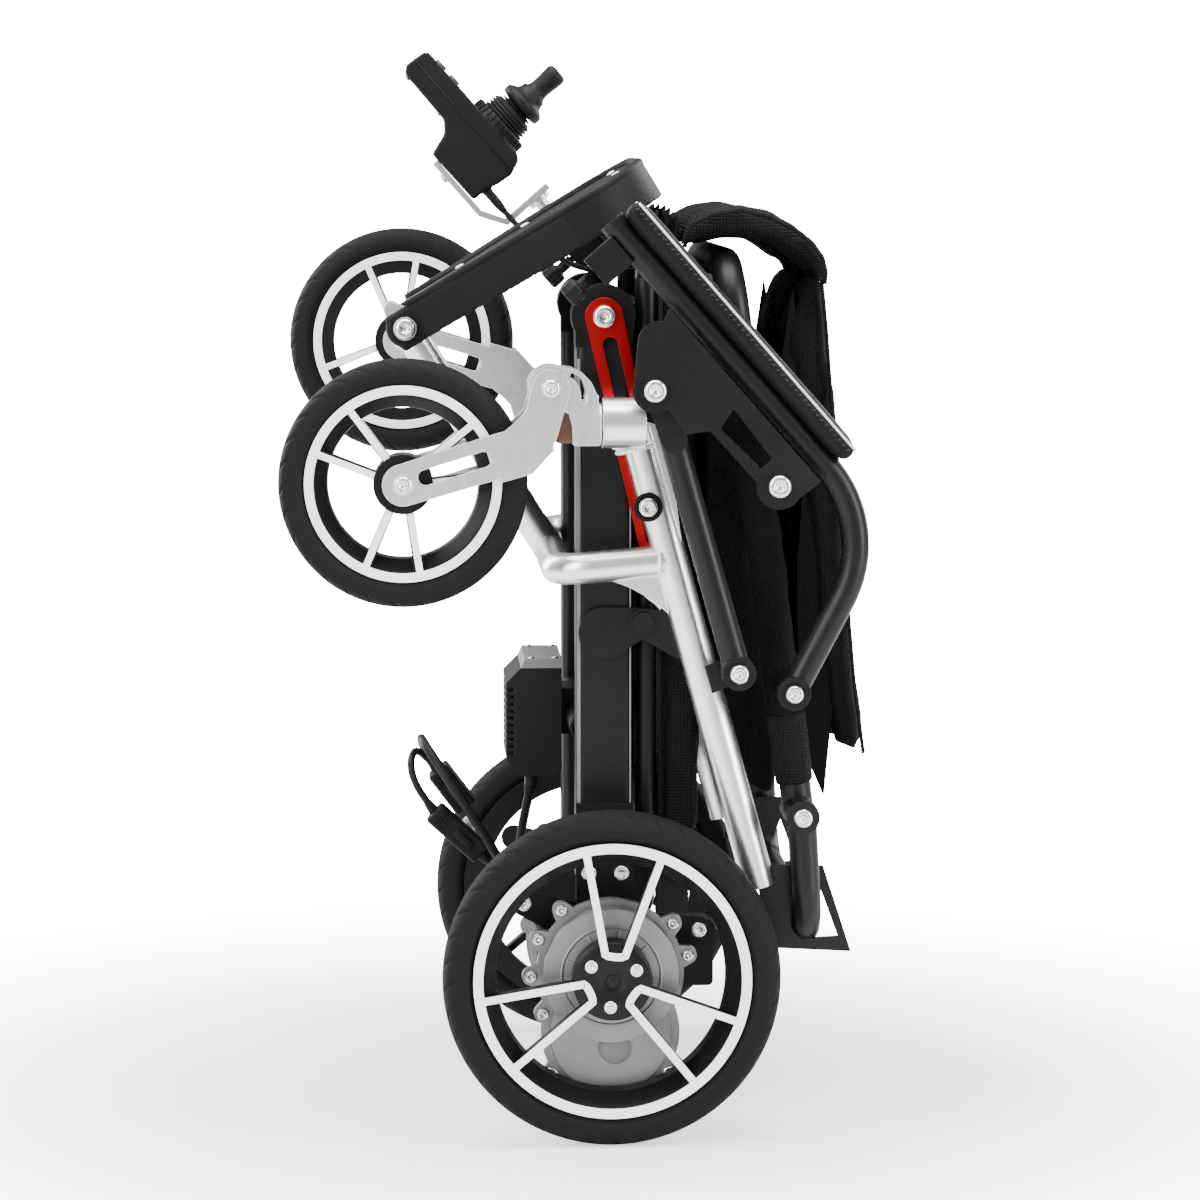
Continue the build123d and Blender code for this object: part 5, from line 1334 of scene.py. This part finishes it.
# ---- joystick and knobs ---------------------------------------------------------------------
class CHAIR_OT_joystick(bpy.types.Operator):
    """Ribbed collar, folded gaiter, bell and grip of the steering stick"""
    bl_idname = "chair.joystick"
    bl_label = "Joystick"

    def execute(self, context):
        case = softened("joystick_case", "soft_case", 0.0016, 9)
        case.data.materials.clear()
        case.data.materials.append(MAT["black_plastic"])
        finish_piece(case, "armrests", "black_plastic", "joystick_case")
        base = STICK + UP * 0.030
        folds = [(0.0062, 0.0098)]
        for i in range(3):
            h = 0.0108 + 0.0031 * i
            r = 0.0212 - 0.0016 * i
            folds += [(r - 0.0045, h - 0.0006), (r - 0.0004, h + 0.0003), (r, h + 0.0010),
                      (r - 0.0006, h + 0.0016)]
        folds += [(0.0140, 0.0198), (0.0062, 0.0198)]
        upper = make_object("gaiter_top", turned("gaiter", folds + folds[:1], base, UP, 64),
                            MAT["soft_rubber"])
        finish_piece(upper, "stick", "soft_rubber")
        profile = [(0.0195, -0.0045), (0.0250, -0.0045)]
        for i in range(4):
            h = -0.003 + 0.0036 * i
            profile += [(0.0252 - 0.0004 * i, h), (0.0258 - 0.0005 * i, h + 0.0009),
                        (0.0252 - 0.0004 * i, h + 0.0018), (0.0222, h + 0.0027)]
        profile += [(0.0205, 0.0125), (0.0185, 0.0125), (0.0185, -0.0045)]
        gaiter = turned("gaiter", profile + profile[:1], base, UP, 64)
        obj = make_object("stick_gaiter", gaiter, MAT["soft_rubber"])
        finish_piece(obj, "armrests", "soft_rubber", "joystick_gaiter")
        grip = [(0.0, -0.036), (0.005, -0.036), (0.005, 0.017), (0.0205, 0.0178), (0.0232, 0.0190),
                (0.0240, 0.0222), (0.0236, 0.0262), (0.0205, 0.0290), (0.0165, 0.0312), (0.0148, 0.0345),
                (0.0142, 0.0385), (0.0122, 0.0402), (0.0108, 0.0425), (0.0103, 0.0470), (0.0104, 0.0530),
                (0.0110, 0.0600), (0.0113, 0.0655), (0.0108, 0.0695), (0.0088, 0.0716), (0.0050, 0.0722),
                (0.0, 0.0722)]
        obj = make_object("stick_grip", turned("grip", grip, base, UP, 64), MAT["black_plastic"])
        finish_piece(obj, "stick", "black_plastic", "joystick_stick")
        teeth = []
        for i in range(30):
            t = 2 * math.pi * i / 30
            a = ALONG * math.cos(t) + Vector((0, math.sin(t), 0))
            b = -ALONG * math.sin(t) + Vector((0, math.cos(t), 0))
            corners = [base + a * r + b * w + UP * h for h in (-0.0128, -0.0048)
                       for r, w in ((0.0300, -0.0013), (0.0322, -0.0010), (0.0322, 0.0010), (0.0300, 0.0013))]
            teeth.append(block("tooth", corners, 0.0004, 2))
        finish_piece(joined("collar_teeth", teeth, MAT["black_plastic"]), "armrests", "black_plastic")
        seam = [on_arm(s, n, 245 + y) for s, n, y in
                ((-232.5, -30, -29.4), (-160, -30, -29.4), (-84, -30, -29.4))]
        piping("case_seam_near", seam, 0.0006, "armrests", "motor_black", "black_plastic")
        spots = [(on_arm(s, -47 if s < -160 else -79.5, y), -UP)
                 for s, y in ((-222, 225), (-222, 265), (-175, 225), (-175, 265))]
        bolts("case_screws", spots, "armrests", "steel", 0.0032, 0.0016)
        spots = [(on_arm(-122, -85.5, y), -UP) for y in (238, 256)]
        bolts("bracket_screws", spots, "armrests", "steel", 0.0052, 0.003)
        return {"FINISHED"}


class CHAIR_OT_knobs(bpy.types.Operator):
    """Lobed thumb screws under the rod clamps"""
    bl_idname = "chair.knobs"
    bl_label = "Thumb knobs"

    def execute(self, context):
        for name, side in SIDES:
            foot = on_arm(25, -76, side * ARM_Y * 1000)
            profile = [(0.0, 0.0), (0.008, 0.0), (0.0105, 0.0012), (0.0112, 0.003), (0.0112, 0.012),
                       (0.0105, 0.0146), (0.008, 0.016), (0.0055, 0.0175), (0.0052, 0.033), (0.003, 0.0335),
                       (0.003, 0.039), (0.0, 0.039)]
            mesh = turned("knob", profile, foot, UP, 96,
                          lambda t, r, h: r * (1 - 0.07 * (0.5 + 0.5 * math.cos(9 * t))) if r > 0.0079 else r)
            obj = make_object("lobed_knob_" + name, mesh, MAT["black_plastic"])
            finish_piece(obj, "knob_" + name, "black_plastic", "thumb_knob_" + name)
        return {"FINISHED"}


class CHAIR_OT_footplate(bpy.types.Operator):
    """Screws under the footplate, ribs in its tray and its tread strips"""
    bl_idname = "chair.footplate"
    bl_label = "Footplate details"

    def execute(self, context):
        tilt = math.radians(31.3)
        run = Vector((math.cos(tilt), 0, math.sin(tilt)))
        up = Vector((-math.sin(tilt), 0, math.cos(tilt)))
        hinge = Vector((FOOT_HINGE.x, 0, FOOT_HINGE.z))

        def spot(t, y, h):
            return hinge + run * (t / 1000) + up * (h / 1000) + Vector((0, y / 1000, 0))
        heads = [(spot(t, y, 17.8), up)
                 for t, ys in ((74, (-78, 78)), (248, (-96, 0, 96)), (150, (-118, 118))) for y in ys]
        bolts("footplate_screws", heads, "footplate_body", "steel", 0.0048, 0.0022)
        tray = softened("footplate", "soft_tray", 0.0022, 5)
        tray.data.materials.clear()
        tray.data.materials.append(MAT["foot_plastic"])
        finish_piece(tray, "footplate_body", "black_plastic", "footplate")
        edge = [(14, 71), (66, 92.4), (135, 132.4), (180, 146.5)]
        edge += arc_points((194, 72), 74.5, math.pi / 2, 0, 14)
        edge += [(t, -w) for t, w in reversed(edge)]
        path = [spot(t, w, 18.5) for t, w in edge]
        finish_piece(make_object("tray_rim", swept("rim", path, 0.0045, 10), MAT["foot_plastic"]),
                     "footplate_body", "black_plastic")
        ribs = []
        for t in (84, 122, 160, 198, 236):
            half = 86 if t < 100 else (120 if t < 140 else (138 if t < 220 else 112))
            corners = [spot(t + a, y, h) for h in (-6, 13)
                       for a, y in ((-2, -half), (2, -half), (2, half), (-2, half))]
            ribs.append(block("rib", corners, 0.0008, 2))
        for y in (-100, -50, 0, 50, 100):
            start = 76 if abs(y) < 60 else 128
            corners = [spot(t, y + b, h) for h in (-4, 13)
                       for t, b in ((start, -2), (254, -2), (254, 2), (start, 2))]
            ribs.append(block("rib", corners, 0.0008, 2))
        finish_piece(joined("footplate_ribs", ribs, MAT["foot_plastic"]), "footplate_body", "black_plastic")
        return {"FINISHED"}


class CHAIR_OT_paint(bpy.types.Operator):
    """Materials, and the finish of every CAD node"""
    bl_idname = "chair.paint"
    bl_label = "Materials"

    def execute(self, context):
        build_materials()
        paint_nodes()
        return {"FINISHED"}


# ---- stage ----------------------------------------------------------------------------------
class CHAIR_PG_paint(bpy.types.PropertyGroup):
    tube_black: bpy.props.FloatVectorProperty(name="Tube black",
                                              description="Powder coat of the dark tubes", subtype="COLOR",
                                              size=3, default=(0.003, 0.003, 0.0033))
    link_red: bpy.props.FloatVectorProperty(name="Link red",
                                            description="Anodised colour of the fold links", subtype="COLOR",
                                            size=3, default=(0.30, 0.004, 0.006))


class CHAIR_PG_stage(bpy.types.PropertyGroup):
    lens: bpy.props.FloatProperty(name="Lens", description="Focal length of the camera", default=126.0,
                                  unit="CAMERA")
    yaw: bpy.props.FloatProperty(name="Yaw", description="Camera turn to the right",
                                 default=math.radians(2.75), subtype="ANGLE")
    pitch: bpy.props.FloatProperty(name="Pitch", description="Camera tilt down", default=math.radians(6.14),
                                   subtype="ANGLE")
    glow: bpy.props.FloatProperty(name="Backdrop", description="Brightness of the backdrop", default=20.0)


def soft_box(name, place, target, size, power):
    light = bpy.data.lights.new(name, "AREA")
    light.shape = "RECTANGLE"
    light.size, light.size_y = size
    light.energy = power
    obj = bpy.data.objects.new(name, light)
    obj.location = place
    obj.rotation_euler = (Vector(target) - Vector(place)).to_track_quat("-Z", "Y").to_euler()
    bpy.context.scene.collection.objects.link(obj)
    return obj


def build_world(glow):
    world = bpy.data.worlds.new("studio")
    world.use_nodes = True
    tree = world.node_tree
    tree.nodes.clear()
    out = tree.nodes.new("ShaderNodeOutputWorld")
    seen, lit = tree.nodes.new("ShaderNodeBackground"), tree.nodes.new("ShaderNodeBackground")
    seen.inputs["Color"].default_value = (1, 1, 1, 1)
    seen.inputs["Strength"].default_value = glow
    lit.inputs["Color"].default_value = (1, 1, 1, 1)
    lit.inputs["Strength"].default_value = 0.62
    path, mix = tree.nodes.new("ShaderNodeLightPath"), tree.nodes.new("ShaderNodeMixShader")
    tree.links.new(path.outputs["Is Camera Ray"], mix.inputs["Fac"])
    tree.links.new(lit.outputs[0], mix.inputs[1])
    tree.links.new(seen.outputs[0], mix.inputs[2])
    tree.links.new(mix.outputs[0], out.inputs["Surface"])
    bpy.context.scene.world = world


class CHAIR_OT_stage(bpy.types.Operator):
    """Camera, lights and the pale floor"""
    bl_idname = "chair.stage"
    bl_label = "Stage"

    def execute(self, context):
        stage = context.scene.chair_stage
        cam = bpy.data.cameras.new("camera")
        cam.lens = stage.lens
        cam.sensor_width = 36.0
        cam.clip_end = 60.0
        eye = bpy.data.objects.new("camera", cam)
        eye.location = at(-192.3, -4031.0, 908.2)
        eye.rotation_euler = (math.pi / 2 - stage.pitch, 0, -stage.yaw)
        context.scene.collection.objects.link(eye)
        context.scene.camera = eye
        build_world(stage.glow)
        mid = at(0, 0, 450)
        soft_box("key", at(-2300, -2300, 1700), mid, (2.0, 2.4), 150)
        soft_box("right", at(2500, -1500, 1300), mid, (1.0, 2.6), 120)
        soft_box("top", at(-100, -300, 2700), mid, (2.4, 1.8), 150)
        soft_box("back_left", at(-1800, 1500, 1300), mid, (0.9, 2.2), 90)
        soft_box("back_right", at(1700, 1700, 1500), mid, (0.9, 2.2), 60)
        verts = [at(x, y, -0.4) for x, y in ((-9000, -9000), (9000, -9000), (9000, 9000), (-9000, 9000))]
        floor = make_object("floor", mesh_from("floor", verts, [(0, 1, 2, 3)]), MAT["floor"], False)
        return {"FINISHED"}


class CHAIR_PT_panel(bpy.types.Panel):
    """Every step of the build, in its order"""
    bl_idname = "CHAIR_PT_panel"
    bl_label = "Wheelchair"
    bl_space_type = "VIEW_3D"
    bl_region_type = "UI"
    bl_category = "Wheelchair"

    def draw(self, context):
        for op in STEPS:
            self.layout.operator(op.bl_idname)
        for group in GROUP_NAMES:
            settings = getattr(context.scene, group)
            for key in settings.__annotations__:
                self.layout.prop(settings, key)


GROUP_NAMES = {
    "chair_wheels": CHAIR_PG_wheels, "chair_cloth": CHAIR_PG_cloth,
    "chair_paint": CHAIR_PG_paint, "chair_stage": CHAIR_PG_stage,
}
STEPS = (
    CHAIR_OT_paint, CHAIR_OT_stage, CHAIR_OT_cables, CHAIR_OT_connectors, CHAIR_OT_drive_wheels,
    CHAIR_OT_caster_wheels, CHAIR_OT_frame_details, CHAIR_OT_drive_details, CHAIR_OT_upholstery,
    CHAIR_OT_arm_pads, CHAIR_OT_joystick, CHAIR_OT_knobs, CHAIR_OT_footplate,
)
CLASSES = (*GROUP_NAMES.values(), *STEPS, CHAIR_PT_panel)


def register():
    for cls in CLASSES:
        bpy.utils.register_class(cls)
    for name, cls in GROUP_NAMES.items():
        setattr(bpy.types.Scene, name, bpy.props.PointerProperty(type=cls))


def unregister():
    for name in GROUP_NAMES:
        delattr(bpy.types.Scene, name)
    for cls in reversed(CLASSES):
        bpy.utils.unregister_class(cls)


def main():
    register()
    for step in STEPS:
        group, action = step.bl_idname.split(".")
        getattr(getattr(bpy.ops, group), action)()


if __name__ == "__main__":
    main()
